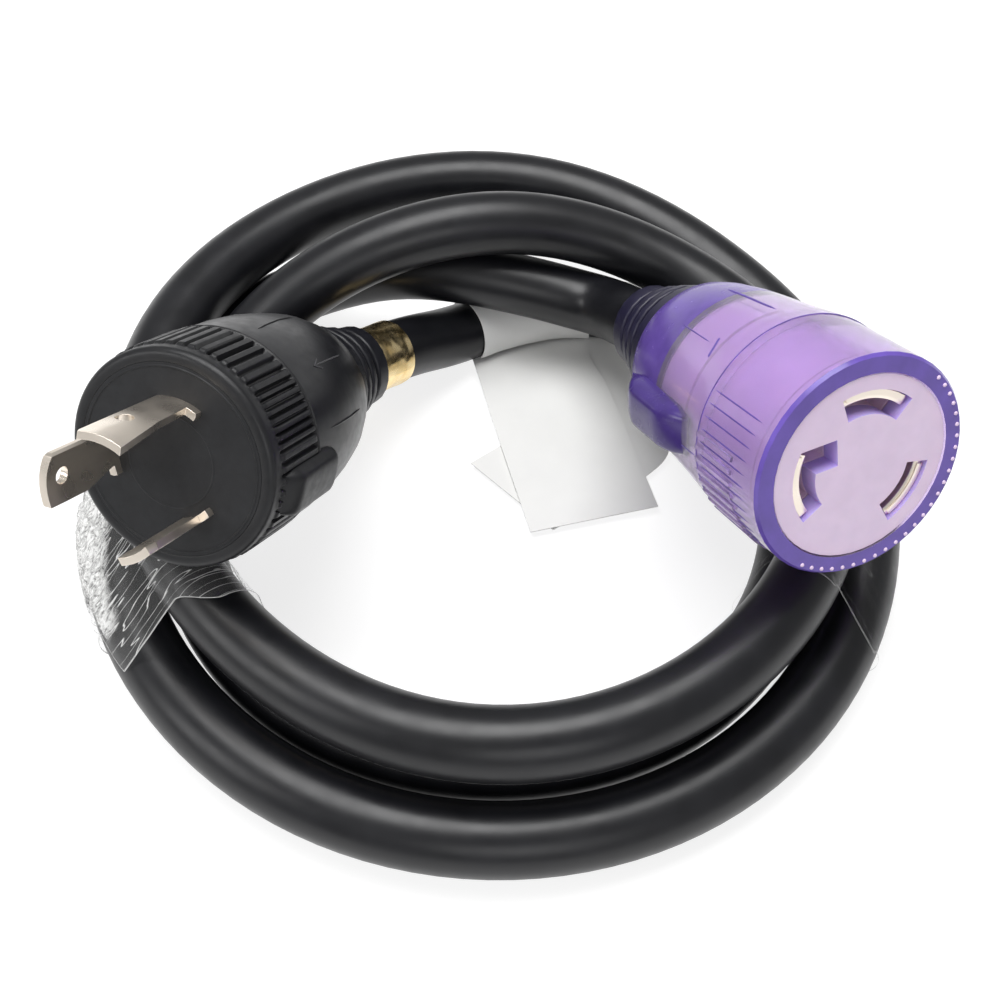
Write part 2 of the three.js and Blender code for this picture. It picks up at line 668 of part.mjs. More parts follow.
for (const [key, { from, to, outer }] of Object.entries(SLOTS)) {
  const edge = outer - SEAT_GAP;
  const front = -CONTACT_RECESS;
  const back = front - CONTACT_LENGTH;
  const shape = sectorShape(edge - CONTACT_THICKNESS, edge, from + CONTACT_MARGIN, to - CONTACT_MARGIN);
  addMesh(connector, `contact_${key}`, prism(shape, back, front), FINISH.blade);
  const angle = (from + to) / 2;
  const start = new THREE.Vector3(...polar(edge - CONTACT_THICKNESS, angle), back - SEAT_GAP);
  const end = new THREE.Vector3(...polar(CORE_SPREAD, angle), -CONNECTOR_SHELL_END);
  addMesh(connector, `connector_core_${key}`, core(start, end), CORE_COLOURS[key]);
}

// ---------------------------------------------------------------- cord

// Slope of one column of the stations at a station.
function stationSlope(i, column) {
  const before = STATIONS[Math.max(i - 1, 0)];
  const after = STATIONS[Math.min(i + 1, STATIONS.length - 1)];
  return (after[column] - before[column]) / (after[0] - before[0]);
}

// Cubic blend between the two stations about a turn.
function stationValue(turn, column) {
  const next = STATIONS.findIndex((station) => station[0] > turn);
  const i = (next < 0 ? STATIONS.length - 1 : next) - 1;
  const [a, b] = [STATIONS[i], STATIONS[i + 1]];
  const width = b[0] - a[0];
  const t = (turn - a[0]) / width;
  return a[column] * (2 * t ** 3 - 3 * t ** 2 + 1)
    + b[column] * (3 * t ** 2 - 2 * t ** 3)
    + width * stationSlope(i, column) * (t ** 3 - 2 * t ** 2 + t)
    + width * stationSlope(i + 1, column) * (t ** 3 - t ** 2);
}

// Centre of the cord at a turn, and the way it runs there.
function coilPoint(turn) {
  const [y, x] = polar(stationValue(turn, 1), turn);
  return new THREE.Vector3(x, y, stationValue(turn, 2));
}

function coilDirection(turn) {
  return coilPoint(turn + 0.5).sub(coilPoint(turn - 0.5)).normalize();
}

// Where a relief ends and which way the cord leaves it, in the part's frame.
function cordExit(housing, start, bend) {
  const { point, direction } = reliefPoint(start, bend, RELIEF_LENGTH + SEAT_GAP);
  return {
    point: housing.localToWorld(point),
    direction: direction.transformDirection(housing.matrixWorld),
  };
}

const plugExit = cordExit(plug, PLUG_SHELL_END + SEAT_GAP, PLUG_RELIEF_BEND);
const connectorExit = cordExit(connector, CONNECTOR_SHELL_END + SEAT_GAP, CONNECTOR_RELIEF_BEND);

// Straight for one diameter out of a relief, then a bend onto the coil.
function approach(exit, coilAngle, coilWay, pull, steps) {
  const straightEnd = exit.point.clone().addScaledVector(exit.direction, CORD_DIAMETER);
  const join = coilPoint(coilAngle);
  const bend = new THREE.CubicBezierCurve3(
    straightEnd,
    straightEnd.clone().addScaledVector(exit.direction, pull),
    join.clone().addScaledVector(coilDirection(coilAngle), -coilWay * pull),
    join,
  );
  const points = [exit.point, straightEnd];
  for (let i = 1; i < steps; i += 1) points.push(bend.getPoint(i / steps));
  return points;
}

const LOOP_STEP = 360 / LOOP_STEPS;
const route = approach(plugExit, LEAD_JOIN, 1, LEAD_PULL, LEAD_STEPS);
for (let angle = LEAD_JOIN; angle <= TAIL_JOIN; angle += LOOP_STEP) route.push(coilPoint(angle));
route.push(...approach(connectorExit, TAIL_JOIN, -1, TAIL_PULL, TAIL_STEPS).reverse());

// Direction of the route at a point: along the end stretches there, else between neighbours.
function routeDirection(i) {
  if (i === 0 || i === 1) return route[1].clone().sub(route[0]).normalize();
  const last = route.length - 1;
  if (i >= last - 1) return route[last].clone().sub(route[last - 1]).normalize();
  return route[i + 1].clone().sub(route[i - 1]).normalize();
}

function cordRing(i, radius, sides) {
  const direction = routeDirection(i);
  const across = new THREE.Vector3().crossVectors(direction, UP).normalize();
  const above = new THREE.Vector3().crossVectors(across, direction);
  return Array.from({ length: sides }, (unused, j) => {
    const angle = 2 * Math.PI * j / sides - Math.PI / 2;
    return route[i].clone()
      .addScaledVector(across, radius * Math.cos(angle))
      .addScaledVector(above, radius * Math.sin(angle));
  });
}

function cord() {
  const tube = loft(route.map((unused, i) => cordRing(i, CORD_DIAMETER / 2, CORD_SIDES)));
  const reach = [-GROUND_REACH, GROUND_REACH];
  const ground = block(reach, reach, [-GROUND_REACH, REST_CUT]);
  return tube.subtract(ground);
}

// Least distance between stretches of the cord that aren't neighbours, less its diameter.
function leastGap() {
  const fine = [];
  const perSpan = 4;
  for (let i = 0; i < route.length - 1; i += 1) {
    for (let k = 0; k < perSpan; k += 1) fine.push(route[i].clone().lerp(route[i + 1], k / perSpan));
  }
  let best = Infinity;
  for (let i = 0; i < fine.length; i += 1) {
    let along = 0;
    for (let j = i + 1; j < fine.length; j += 1) {
      along += fine[j].distanceTo(fine[j - 1]);
      if (along < 4 * CORD_DIAMETER) continue;
      best = Math.min(best, fine[i].distanceTo(fine[j]) - CORD_DIAMETER);
    }
  }
  return best;
}

console.log(`least gap of the cord to itself: ${leastGap().toFixed(2)} mm`);

addMesh(part, 'cord', cord(), FINISH.cord);

// ---------------------------------------------------------------- wrapped round the cord

// Where the cord's middle line is at a place counted in rings of the route, with the
// directions across and above it there.
function crossing(place) {
  const i = Math.min(Math.floor(place), route.length - 2);
  const ends = [i, i + 1].map((k) => {
    const direction = routeDirection(k);
    const across = new THREE.Vector3().crossVectors(direction, UP).normalize();
    return { centre: route[k], across, above: new THREE.Vector3().crossVectors(across, direction) };
  });
  const mix = (name) => ends[0][name].clone().lerp(ends[1][name], place - i);
  return { centre: mix('centre'), across: mix('across'), above: mix('above') };
}

// Place of a turn on the route.
const FIRST_LOOP_RING = 1 + LEAD_STEPS;
const placeOf = (turn) => FIRST_LOOP_RING + (turn - LEAD_JOIN) / LOOP_STEP;

// Ring about the cord, its angles counted from the top towards the coil's middle.
function wrapRing(place, radius, angles) {
  const { centre, across, above } = crossing(place);
  return angles.map((angle) => centre.clone()
    .addScaledVector(above, radius * Math.cos(radians(angle)))
    .addScaledVector(across, radius * Math.sin(radians(angle))));
}

const spread = (from, to, count) => Array.from({ length: count }, (unused, j) => (
  from + (to - from) * j / (count - 1)
));

// Foil band: a sleeve round the straight end of the cord.
function foilBand() {
  const angles = spread(0, 360, BAND_SIDES + 1).slice(0, -1);
  const inner = CORD_DIAMETER / 2 + SEAT_GAP;
  const places = [BAND_START, BAND_START + BAND_LENGTH].map((distance) => distance / CORD_DIAMETER);
  const outside = places.map((place) => wrapRing(place, inner + BAND_WALL, angles));
  const inside = places.map((place) => wrapRing(place, inner, angles)).reverse();
  return loft([...outside, ...inside], true);
}
addMesh(part, 'gold_band', foilBand(), FINISH.foil);

// Paper round the cord between turns, open underneath.
function paperWrap(turns) {
  const angles = spread(-LABEL_GIRTH / 2, LABEL_GIRTH / 2, 13);
  const inner = CORD_DIAMETER / 2 + SEAT_GAP;
  const skin = (radius) => turns.map((turn) => wrapRing(placeOf(turn), radius, angles));
  return sheet(skin(inner + LABEL_WALL), skin(inner));
}

// A leaf of paper over rows of points.
function paperLeaf(rows) {
  const face = (rise) => rows.map((row) => row.map(([x, y, z]) => new THREE.Vector3(x, y, z + rise)));
  return sheet(face(LABEL_WALL), face(0));
}
addMesh(part, 'label_wrap', paperWrap(LABEL_TURNS), FINISH.paper);
addMesh(part, 'label_leaf', paperLeaf(LABEL_ROWS), FINISH.paper);
addMesh(part, 'second_label_wrap', paperWrap(SECOND_LABEL_TURNS), FINISH.paper);
addMesh(part, 'second_label_leaf', paperLeaf(SECOND_LABEL_ROWS), FINISH.paper);

// Film stretched round the three strands at a turn: a skin about their outline, open
// underneath. Its angles run from straight out, over the top.
function filmSection(turn, radius, angles) {
  const strands = [0, 1, 2].map((loop) => crossing(placeOf(turn + 360 * loop)).centre);
  const [y, x] = polar(1, turn);
  const outward = new THREE.Vector3(x, y, 0);
  return angles.map((angle) => {
    const facing = outward.clone().multiplyScalar(Math.cos(radians(angle)));
    facing.z = Math.sin(radians(angle));
    const furthest = strands.reduce((a, b) => (a.dot(facing) > b.dot(facing) ? a : b));
    return furthest.clone().addScaledVector(facing, radius);
  });
}

function film(stretches) {
  const inner = CORD_DIAMETER / 2 + FILM_GAP;
  const pieces = stretches.map(({ turns, folds }) => {
    const angles = spread(FILM_START, FILM_START + folds * FILM_PITCH, folds + 1);
    const skin = (radius) => turns.map((turn) => filmSection(turn, radius, angles));
    return sheet(skin(inner + FILM_WALL), skin(inner));
  });
  return wasm.Manifold.union(pieces);
}
addMesh(part, 'film_wrap_left', film(LEFT_FILM), FINISH.film);
addMesh(part, 'film_wrap_right', film(RIGHT_FILM), FINISH.film);

// ---------------------------------------------------------------- place the part

// The flat underside comes to z = 0 and the middle of the whole part to x = y = 0.
const box = new THREE.Box3().setFromObject(part);
part.position.set(-(box.min.x + box.max.x) / 2, -(box.min.y + box.max.y) / 2, -REST_CUT);
part.updateMatrixWorld(true);

const group = part;
export default group;
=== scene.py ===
"""Looks of the shore power cord: a coiled black cord with a twist-lock plug, a clear violet
connector, a folded paper tag, a foil band and two bands of packing film."""

import bmesh
import bpy
import numpy as np
from mathutils import Matrix, Vector


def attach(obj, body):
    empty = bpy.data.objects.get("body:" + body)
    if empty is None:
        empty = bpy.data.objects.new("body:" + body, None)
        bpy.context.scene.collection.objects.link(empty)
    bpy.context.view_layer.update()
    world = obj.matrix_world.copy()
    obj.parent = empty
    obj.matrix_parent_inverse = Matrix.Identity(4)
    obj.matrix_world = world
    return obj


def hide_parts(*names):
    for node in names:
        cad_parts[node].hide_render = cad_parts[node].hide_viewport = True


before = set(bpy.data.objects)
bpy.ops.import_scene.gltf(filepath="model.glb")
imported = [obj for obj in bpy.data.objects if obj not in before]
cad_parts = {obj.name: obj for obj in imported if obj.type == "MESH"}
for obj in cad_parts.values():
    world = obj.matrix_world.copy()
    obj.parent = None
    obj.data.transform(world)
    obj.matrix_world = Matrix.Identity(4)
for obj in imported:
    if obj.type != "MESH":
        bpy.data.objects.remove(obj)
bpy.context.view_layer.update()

MM = 0.001
# From the coil's middle on the ground to the part's frame, in millimetres
SHIFT = np.array((4.532, -4.605, -1.7))
# The floor meets the round cord's underside, but for a dip of 0.16 mm near turn 153. The CAD
# cord is cut flat this much higher up.
GROUND = SHIFT[2] * MM
UP = np.array((0.0, 0.0, 1.0))


# ------------------------------------------------------------------ camera
CAMERA_AT = (-2.68, -195.50, 274.64)
CAMERA_DOWN = 54.18                 # degrees below the horizontal
CAMERA_FOCUS = 1230.3 / 1000        # focal length over the frame's width
SENSOR = 36

camera_data = bpy.data.cameras.new("camera")
camera_data.sensor_width = SENSOR
camera_data.lens = SENSOR * CAMERA_FOCUS
camera_data.clip_start = 0.01
camera = bpy.data.objects.new("camera", camera_data)
camera.location = (SHIFT + CAMERA_AT) * MM
camera.rotation_euler = (np.radians(90 - CAMERA_DOWN), 0, 0)
bpy.context.scene.collection.objects.link(camera)
bpy.context.scene.camera = camera
bpy.context.scene.view_settings.view_transform = "Standard"


# ------------------------------------------------------------------ numbers
def mix(a, b, t):
    """a at t = 0, b at t = 1, and in proportion between."""
    return a + (b - a) * t


def smooth(t):
    """3t^2 - 2t^3 between 0 and 1: a step with eased ends."""
    t = np.clip(t, 0, 1)
    return t * t * (3 - 2 * t)


def unit(v):
    """A direction of length 1."""
    return v / np.linalg.norm(v, axis=-1, keepdims=True)


def polar(radius, degrees, z=0.0):
    """(r cos a, r sin a, z), in any shape of array."""
    turn = np.radians(degrees)
    return np.stack(np.broadcast_arrays(radius * np.cos(turn), radius * np.sin(turn), z), -1).astype(float)


def rumple(x, y, seed):
    """Smooth random height from -1 to 1: random numbers on a lattice, eased between its points."""
    size = 64
    lattice = np.random.RandomState(seed).uniform(-1, 1, (size, size))
    x, y = np.broadcast_arrays(x, y)
    i, j = np.floor(x).astype(int), np.floor(y).astype(int)
    u, v = smooth(x - i), smooth(y - j)
    low = mix(lattice[i % size, j % size], lattice[(i + 1) % size, j % size], u)
    high = mix(lattice[i % size, (j + 1) % size], lattice[(i + 1) % size, (j + 1) % size], u)
    return mix(low, high, v)


def through(values, t):
    """Catmull-Rom curve through evenly spaced values, t from 0 to 1."""
    last = len(values) - 1
    i = np.minimum((t * last).astype(int), last - 1)
    u = (t * last - i).reshape((-1,) + (1,) * (values.ndim - 1))
    a, b, c, d = (values[np.clip(i + k, 0, last)] for k in (-1, 0, 1, 2))
    return 0.5 * (b * 2 + (c - a) * u + (a * 2 - b * 5 + c * 4 - d) * u ** 2
                  + (b * 3 - a - c * 3 + d) * u ** 3)


# ------------------------------------------------------------------ meshes
def quads(rows, columns, around=True):
    """Corners of the quads over a grid of points, i * columns + j. around closes each row."""
    i = np.arange(rows - 1)[:, None] * columns
    j = np.arange(columns if around else columns - 1)[None]
    k = (j + 1) % columns
    return np.stack(np.broadcast_arrays(i + j, i + k, i + columns + k, i + columns + j), -1).reshape(-1, 4)


def tube(grid):
    """Closed rows of points one after another, with both ends capped."""
    rows, columns = grid.shape[:2]
    ends = [list(range(columns)), list(range((rows - 1) * columns, rows * columns))]
    return grid.reshape(-1, 3), quads(rows, columns).tolist() + ends


def sheet_form(upper, lower):
    """A thin wall between two grids: each pair of rows is a ring, and the end rows are closed."""
    rows, columns = upper.shape[:2]
    points = np.concatenate([upper, lower[:, ::-1]], 1).reshape(-1, 3)
    j = np.arange(columns - 1)
    end = np.stack([j, j + 1, 2 * columns - 2 - j, 2 * columns - 1 - j], -1)
    return points, np.concatenate([quads(rows, 2 * columns), end, end + (rows - 1) * 2 * columns]).tolist()


def new_object(name, form, finish, sharp=35, replaces=None):
    """A piece from points in millimetres and faces, smooth but for edges sharper than that angle."""
    points, faces = form
    mesh = bpy.data.meshes.new(name)
    mesh.from_pydata((points * MM).tolist(), [], faces)
    shape = bmesh.new()
    shape.from_mesh(mesh)
    if replaces != "cord":
        bmesh.ops.remove_doubles(shape, verts=shape.verts, dist=1e-7)
    bmesh.ops.recalc_face_normals(shape, faces=shape.faces)
    shape.to_mesh(mesh)
    shape.free()
    return show(name, mesh, finish, sharp, replaces)


def show(name, mesh, finish, sharp, replaces):
    """The mesh as a piece of the part, which stands for the CAD node it replaces."""
    mesh.materials.clear()
    mesh.materials.append(finish.data)
    mesh.polygons.foreach_set("use_smooth", np.ones(len(mesh.polygons), bool))
    mesh.set_sharp_from_angle(angle=np.radians(sharp))
    mesh.update()
    piece = bpy.data.objects.new(name, mesh)
    bpy.context.scene.collection.objects.link(piece)
    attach(piece, "root")
    if replaces:
        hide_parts(replaces)
    return piece


# ------------------------------------------------------------------ finishes
class Finish:
    """A node material: a Principled shader with noise for its colour, roughness and bump."""

    def __init__(self, name, color, roughness, **sockets):
        self.data = bpy.data.materials.new(name)
        self.data.use_nodes = True
        self.tree = self.data.node_tree
        self.shader = self.tree.nodes["Principled BSDF"]
        self.color = color
        self.shader.inputs["Base Color"].default_value = (*color, 1)
        self.shader.inputs["Roughness"].default_value = roughness
        for key, value in sockets.items():
            self.shader.inputs[key.replace("_", " ")].default_value = value
        self.coordinates = self.node("ShaderNodeTexCoord").outputs["Object"]

    def node(self, kind, **inputs):
        """A shader node with its inputs fed by name."""
        node = self.tree.nodes.new(kind)
        for key, value in inputs.items():
            self.feed(node.inputs[key.replace("_", " ")], value)
        return node

    def feed(self, socket, value):
        """A link from another socket, or a plain value."""
        if isinstance(value, bpy.types.NodeSocket):
            self.tree.links.new(value, socket)
        else:
            socket.default_value = value

    def noise(self, scale, detail=3, rough=0.55, stretch=None, warp=0.0):
        """Noise from 0 to 1, mostly near 0.5, over the finish's coordinates."""
        vector = self.coordinates
        if stretch:
            vector = self.node("ShaderNodeMapping", Vector=vector, Scale=stretch).outputs[0]
        node = self.node("ShaderNodeTexNoise", Vector=vector, Scale=scale, Detail=detail,
                         Roughness=rough, Distortion=warp)
        return node.outputs["Fac"]

    def ranged(self, value, low, high, start=0.3, end=0.7):
        """low at the value start, high at the value end, and held beyond them."""
        node = self.node("ShaderNodeMapRange", Value=value)
        for key, number in (("From Min", start), ("From Max", end), ("To Min", low), ("To Max", high)):
            node.inputs[key].default_value = number
        return node.outputs[0]

    def blend(self, value, first, second):
        """The first colour at 0, the second at 1."""
        node = self.tree.nodes.new("ShaderNodeMix")
        node.data_type = "RGBA"
        self.feed(node.inputs["Factor"], value)
        for socket, color in ((node.inputs[6], first), (node.inputs[7], second)):
            self.feed(socket, color if isinstance(color, bpy.types.NodeSocket) else (*color, 1))
        return node.outputs[2]

    def vary(self, scale, amount, other=None, **how):
        """Colour that wanders about the base, or from below it to another colour."""
        value = self.noise(scale, **how)
        low = tuple(c * (1 - amount) for c in self.color)
        high = other or tuple(min(1, c * (1 + amount)) for c in self.color)
        self.feed(self.shader.inputs["Base Color"], self.blend(self.ranged(value, 0, 1), low, high))
        return self

    def gloss(self, scale, low, high, **how):
        """Roughness that wanders between two values."""
        self.feed(self.shader.inputs["Roughness"], self.ranged(self.noise(scale, **how), low, high))
        return self

    def bump(self, scale, depth, strength=1.0, **how):
        """Fine relief. A second call adds to the first one's."""
        height = self.noise(scale, **how)
        normal = self.node("ShaderNodeBump", Height=height, Strength=strength, Distance=depth * MM)
        before = self.shader.inputs["Normal"].links
        if before:
            self.tree.links.new(before[0].from_socket, normal.inputs["Normal"])
        self.feed(self.shader.inputs["Normal"], normal.outputs[0])
        return self


rubber = Finish("cord_rubber", (0.0062, 0.0064, 0.0085), 0.36, Specular_IOR_Level=0.5)
rubber.vary(60, 0.25).gloss(120, 0.31, 0.41).bump(2600, 0.02, 0.2).bump(190, 0.05, 0.2)

nylon = Finish("plug_nylon", (0.0085, 0.0088, 0.0105), 0.44, Specular_IOR_Level=0.45)
nylon.vary(240, 0.2).gloss(500, 0.36, 0.48).bump(4200, 0.02, 0.3)

face_nylon = Finish("plug_face_nylon", (0.0145, 0.015, 0.017), 0.55, Specular_IOR_Level=0.35)
face_nylon.vary(300, 0.15).gloss(500, 0.5, 0.62).bump(3800, 0.02, 0.35)

shell_nylon = Finish("plug_shell_nylon", (0.0085, 0.0088, 0.0112), 0.34, Specular_IOR_Level=0.45)
shell_nylon.vary(200, 0.2).gloss(420, 0.28, 0.38).bump(3600, 0.015, 0.25)

# Lighter grey for the plug's moulded arrow: a painted highlight along its ridge, as it is the same black nylon as
# the shell.
arrow_highlight_nylon = Finish("arrow_painted_highlight", (0.05, 0.05, 0.055), 0.4).vary(300, 0.2).bump(3000, 0.01, 0.2)

relief_rubber = Finish("relief_rubber", (0.009, 0.0092, 0.013), 0.4, Specular_IOR_Level=0.45)
relief_rubber.vary(300, 0.2).gloss(600, 0.34, 0.46).bump(3000, 0.03, 0.25)

violet_rubber = Finish("violet_relief_rubber", (0.016, 0.014, 0.038), 0.38, Specular_IOR_Level=0.5)
violet_rubber.vary(300, 0.2).gloss(600, 0.32, 0.44).bump(3000, 0.03, 0.25)

brass = Finish("blade_metal", (0.97, 0.88, 0.77), 0.3, Metallic=0.96)
brass.vary(60, 0.02, detail=1).gloss(200, 0.26, 0.34, detail=0).bump(900, 0.004, 0.1, detail=0)

# Violet moulding: part of its colour comes from how much of it the light goes through
clear = Finish("clear_violet", (0.88, 0.75, 1.0), 0.12, Transmission_Weight=0.84, IOR=1.40)
clear.vary(120, 0.03).gloss(300, 0.1, 0.18).bump(700, 0.015, 0.12)
depth = clear.node("ShaderNodeVolumeAbsorption", Color=(0.52, 0.22, 0.90, 1), Density=38.0)
clear.tree.links.new(depth.outputs[0], clear.tree.nodes["Material Output"].inputs["Volume"])

deep_violet = Finish("deep_violet", (0.062, 0.035, 0.20), 0.25)
deep_violet.vary(200, 0.12).gloss(300, 0.2, 0.3).bump(900, 0.02, 0.2)

rim_violet = Finish("rim_violet", (0.15, 0.09, 0.46), 0.2)
rim_violet.vary(150, 0.12).gloss(300, 0.15, 0.25).bump(900, 0.02, 0.2)

shoulder_violet = Finish("shoulder_violet", (0.17, 0.10, 0.46), 0.22, Transmission_Weight=0.3, IOR=1.40)
shoulder_violet.vary(150, 0.15).gloss(300, 0.18, 0.28).bump(900, 0.02, 0.2)

lilac = Finish("lilac_body", (0.96, 0.74, 0.97), 0.38, Subsurface_Weight=0.1)
lilac.vary(150, 0.04).gloss(400, 0.32, 0.44).bump(2400, 0.02, 0.2)

# Darker violet for the walls of the connector's slots: painted shade in the slots, as the walls are the same lilac
# moulding as the disc.
slot_shade_violet = Finish("slot_wall_painted_shade", (0.60, 0.44, 0.92), 0.4, Subsurface_Weight=0.2)
slot_shade_violet.vary(150, 0.08).bump(2400, 0.02, 0.2)

clamp_violet = Finish("clamp_violet", (0.12, 0.07, 0.36), 0.4).vary(200, 0.2).bump(900, 0.05, 0.3)

paper = Finish("tag_paper", (0.83, 0.83, 0.815), 0.62)
paper.vary(70, 0.02).gloss(600, 0.55, 0.7).bump(1500, 0.02, 0.3).bump(60, 0.25, 0.25)

foil = Finish("gold_foil", (0.90, 0.66, 0.30), 0.22, Metallic=1.0)
foil.vary(300, 0.08, (0.97, 0.78, 0.44), detail=1).gloss(700, 0.16, 0.3).bump(300, 0.12, 0.4, detail=1)

core_black = Finish("core_black", (0.02, 0.02, 0.02), 0.5).vary(500, 0.2).bump(2000, 0.02, 0.2)
core_white = Finish("core_white", (0.75, 0.75, 0.73), 0.5).vary(500, 0.05).bump(2000, 0.02, 0.2)
core_green = Finish("core_green", (0.03, 0.25, 0.07), 0.5).vary(500, 0.1).bump(2000, 0.02, 0.2)


class Film(Finish):
    """Clear film. White creases run along its lay, close together where it is bunched: painted reflections standing
    in for the glints of the creased film.
    """

    def attribute(self, name, output):
        """A value that the mesh keeps for each point."""
        node = self.node("ShaderNodeAttribute")
        node.attribute_name = name
        return node.outputs[output]

    def math(self, operation, first, second=0.0):
        """One step of arithmetic on sockets or numbers."""
        node = self.node("ShaderNodeMath")
        node.operation = operation
        self.feed(node.inputs[0], first)
        self.feed(node.inputs[1], second)
        return node.outputs[0]

    def streaks(self, stretch, warp, detail):
        """Noise over the millimetres of the film's own lay, drawn out along it."""
        self.coordinates = self.attribute("lay", "Vector")
        return self.noise(1.0, detail=detail, rough=0.65, stretch=stretch, warp=warp)

    def see_through(self):
        """Clear but for painted reflections that stand in for the film's glints: white where it is bunched, thin
        white crease lines and a pale edge.
        """
        # The white of the film is painted reflection: the bunched patches, the thin lines and the pale edge stand in
        # for glints on clear film.
        bunched = self.attribute("bunched", "Fac")
        crumple_glint = self.ranged(self.streaks((0.75, 0.28, 0), 1.8, 5), 0.2, 1.0, 0.40, 0.57)
        line = self.math("ABSOLUTE", self.math("SUBTRACT", self.streaks((0.42, 0.03, 0), 0.2, 1), 0.5))
        thin = self.ranged(line, 0.75, 0.035, 0.003, 0.010)
        thin = self.math("MULTIPLY", thin, self.attribute("creased", "Fac"))
        dense_glint = self.math("MULTIPLY", crumple_glint, bunched)
        glint_border = self.math("MULTIPLY", self.attribute("glint_border", "Fac"), 0.75)
        glint_cover = self.math("MAXIMUM", self.math("MAXIMUM", dense_glint, thin), glint_border)
        clearness = self.node("ShaderNodeBsdfTransparent")
        join = self.node("ShaderNodeMixShader", Fac=glint_cover)
        self.tree.links.new(clearness.outputs[0], join.inputs[1])
        self.tree.links.new(self.shader.outputs[0], join.inputs[2])
        self.tree.links.new(join.outputs[0], self.tree.nodes["Material Output"].inputs["Surface"])
        self.bump(0.8, 0.5, 0.8, detail=4, stretch=(0.9, 0.3, 0), warp=1.6)


film_finish = Film("packing_film", (0.97, 0.97, 0.96), 0.18, IOR=1.45)
film_finish.gloss(500, 0.1, 0.25).see_through()


# ------------------------------------------------------------------ housings' frames
def housing(face, azimuth, elevation):
    """Frame of a housing: +Z out of its face, +X right and +Y up, seen from the front."""
    spin = Matrix.Rotation(np.radians(azimuth + 90), 3, "Z")
    tilt = Matrix.Rotation(np.radians(90 - elevation), 3, "X")
    return SHIFT + face, np.array(spin @ tilt)


def on(housing_frame, points):
    """Points of a housing's frame in the part's frame."""
    origin, axes = housing_frame
    return origin + points @ axes.T


# Where each face lies from the coil's middle, and where it looks
PLUG = housing((-72.1, -37.3, 69.4), 247.9, 32.2)
CONNECTOR = housing((72.8, -39.7, 70.2), -66.2, 23.8)
PLUG_END, CONNECTOR_END = 62, 68    # from the face to the end of the rear shell
SEAT = 0.3                          # from a shell's end to its relief
RELIEF_LENGTH = 25
PLUG_BEND, CONNECTOR_BEND = (20, 28), (8, 185)  # of each relief: by how many degrees, and towards where


def cord_exit(housing_frame, end, bend):
    """End and direction of a strain relief's middle line: an arc of that length and bend."""
    by, towards = bend
    radius = RELIEF_LENGTH / np.radians(by)
    turn = (RELIEF_LENGTH + SEAT) / radius
    side, back = polar(1, towards), -UP
    point = back * (end + SEAT) + side * radius * (1 - np.cos(turn)) + back * radius * np.sin(turn)
    way = back * np.cos(turn) + side * np.sin(turn)
    return on(housing_frame, point), unit(way @ housing_frame[1].T)


# ------------------------------------------------------------------ cord
CORD = 17.0                         # diameter
# [turn in degrees clockwise from the back, distance from the coil's middle, height]
STATIONS = np.array([
    (-24, 54.2, 12.6), (-15, 57.6, 9.9), (0, 64.1, 8.6), (15, 70.5, 8.6), (30, 74.7, 9.0), (45, 76.2, 9.5),
    (60, 75.5, 10.2), (75, 74.4, 11.0), (90, 74.5, 11.6), (135, 77.0, 8.6), (180, 79.4, 8.5),
    (225, 83.0, 8.9), (270, 85.5, 14.0), (285, 84.1, 20.1), (300, 79.5, 29.0), (315, 72.2, 37.9),
    (330, 65.9, 43.9), (345, 63.4, 46.1), (360, 64.6, 44.9), (375, 68.5, 40.8), (390, 73.2, 35.0), (405, 77.0, 30.1),
    (420, 79.6, 27.6), (435, 80.8, 27.4), (450, 80.8, 28.2), (495, 80.6, 28.6), (540, 83.6, 29.2),
    (585, 83.4, 26.8), (630, 93.0, 33.4), (675, 103.9, 28.9), (720, 107.0, 24.6), (765, 98.4, 15.4),
    (810, 94.0, 11.6), (855, 95.0, 8.6), (900, 97.8, 10.4), (945, 100.6, 11.2), (990, 104.4, 11.6),
    (1020, 103.0, 10.8), (1035, 93.5, 14.4), (1050, 76.9, 25.1), (1065, 64.7, 28.6), (1080, 60.0, 26.6),
    (1095, 59.3, 24.1),
])
LEAD_JOIN, TAIL_JOIN = -15, 1095    # turns where the bends from the housings meet the coil
LEAD_PULL, TAIL_PULL = 7, 5         # length of each bend's handles
FINE = 3                            # degrees between rings of the cord
STRAIGHT_RINGS = 5                  # at each end, straight out of a relief
BEND_RINGS = 6
EASING = 6                          # rounds

ahead = np.vstack([STATIONS[1:], STATIONS[-1:]])
behind = np.vstack([STATIONS[:1], STATIONS[:-1]])
SLOPES = (ahead - behind)[:, 1:] / (ahead - behind)[:, :1]


def coil_point(turn):
    """Middle line of the coil: a cubic in distance and height between each two stations."""
    turn = np.asarray(turn, float)
    i = np.clip(np.searchsorted(STATIONS[:, 0], turn, side="right") - 1, 0, len(STATIONS) - 2)
    a, b = STATIONS[i], STATIONS[i + 1]
    width = (b - a)[..., :1]
    t = (turn[..., None] - a[..., :1]) / width
    value = (a[..., 1:] * (2 * t ** 3 - 3 * t ** 2 + 1) + b[..., 1:] * (3 * t ** 2 - 2 * t ** 3)
             + width * SLOPES[i] * (t ** 3 - 2 * t ** 2 + t) + width * SLOPES[i + 1] * (t ** 3 - t ** 2))
    return SHIFT + polar(value[..., 0], 90 - turn, value[..., 1])


def coil_way(turn):
    """Direction of the middle line at a turn, from the points half a degree off on both sides."""
    return unit(coil_point(turn + 0.5) - coil_point(turn - 0.5))


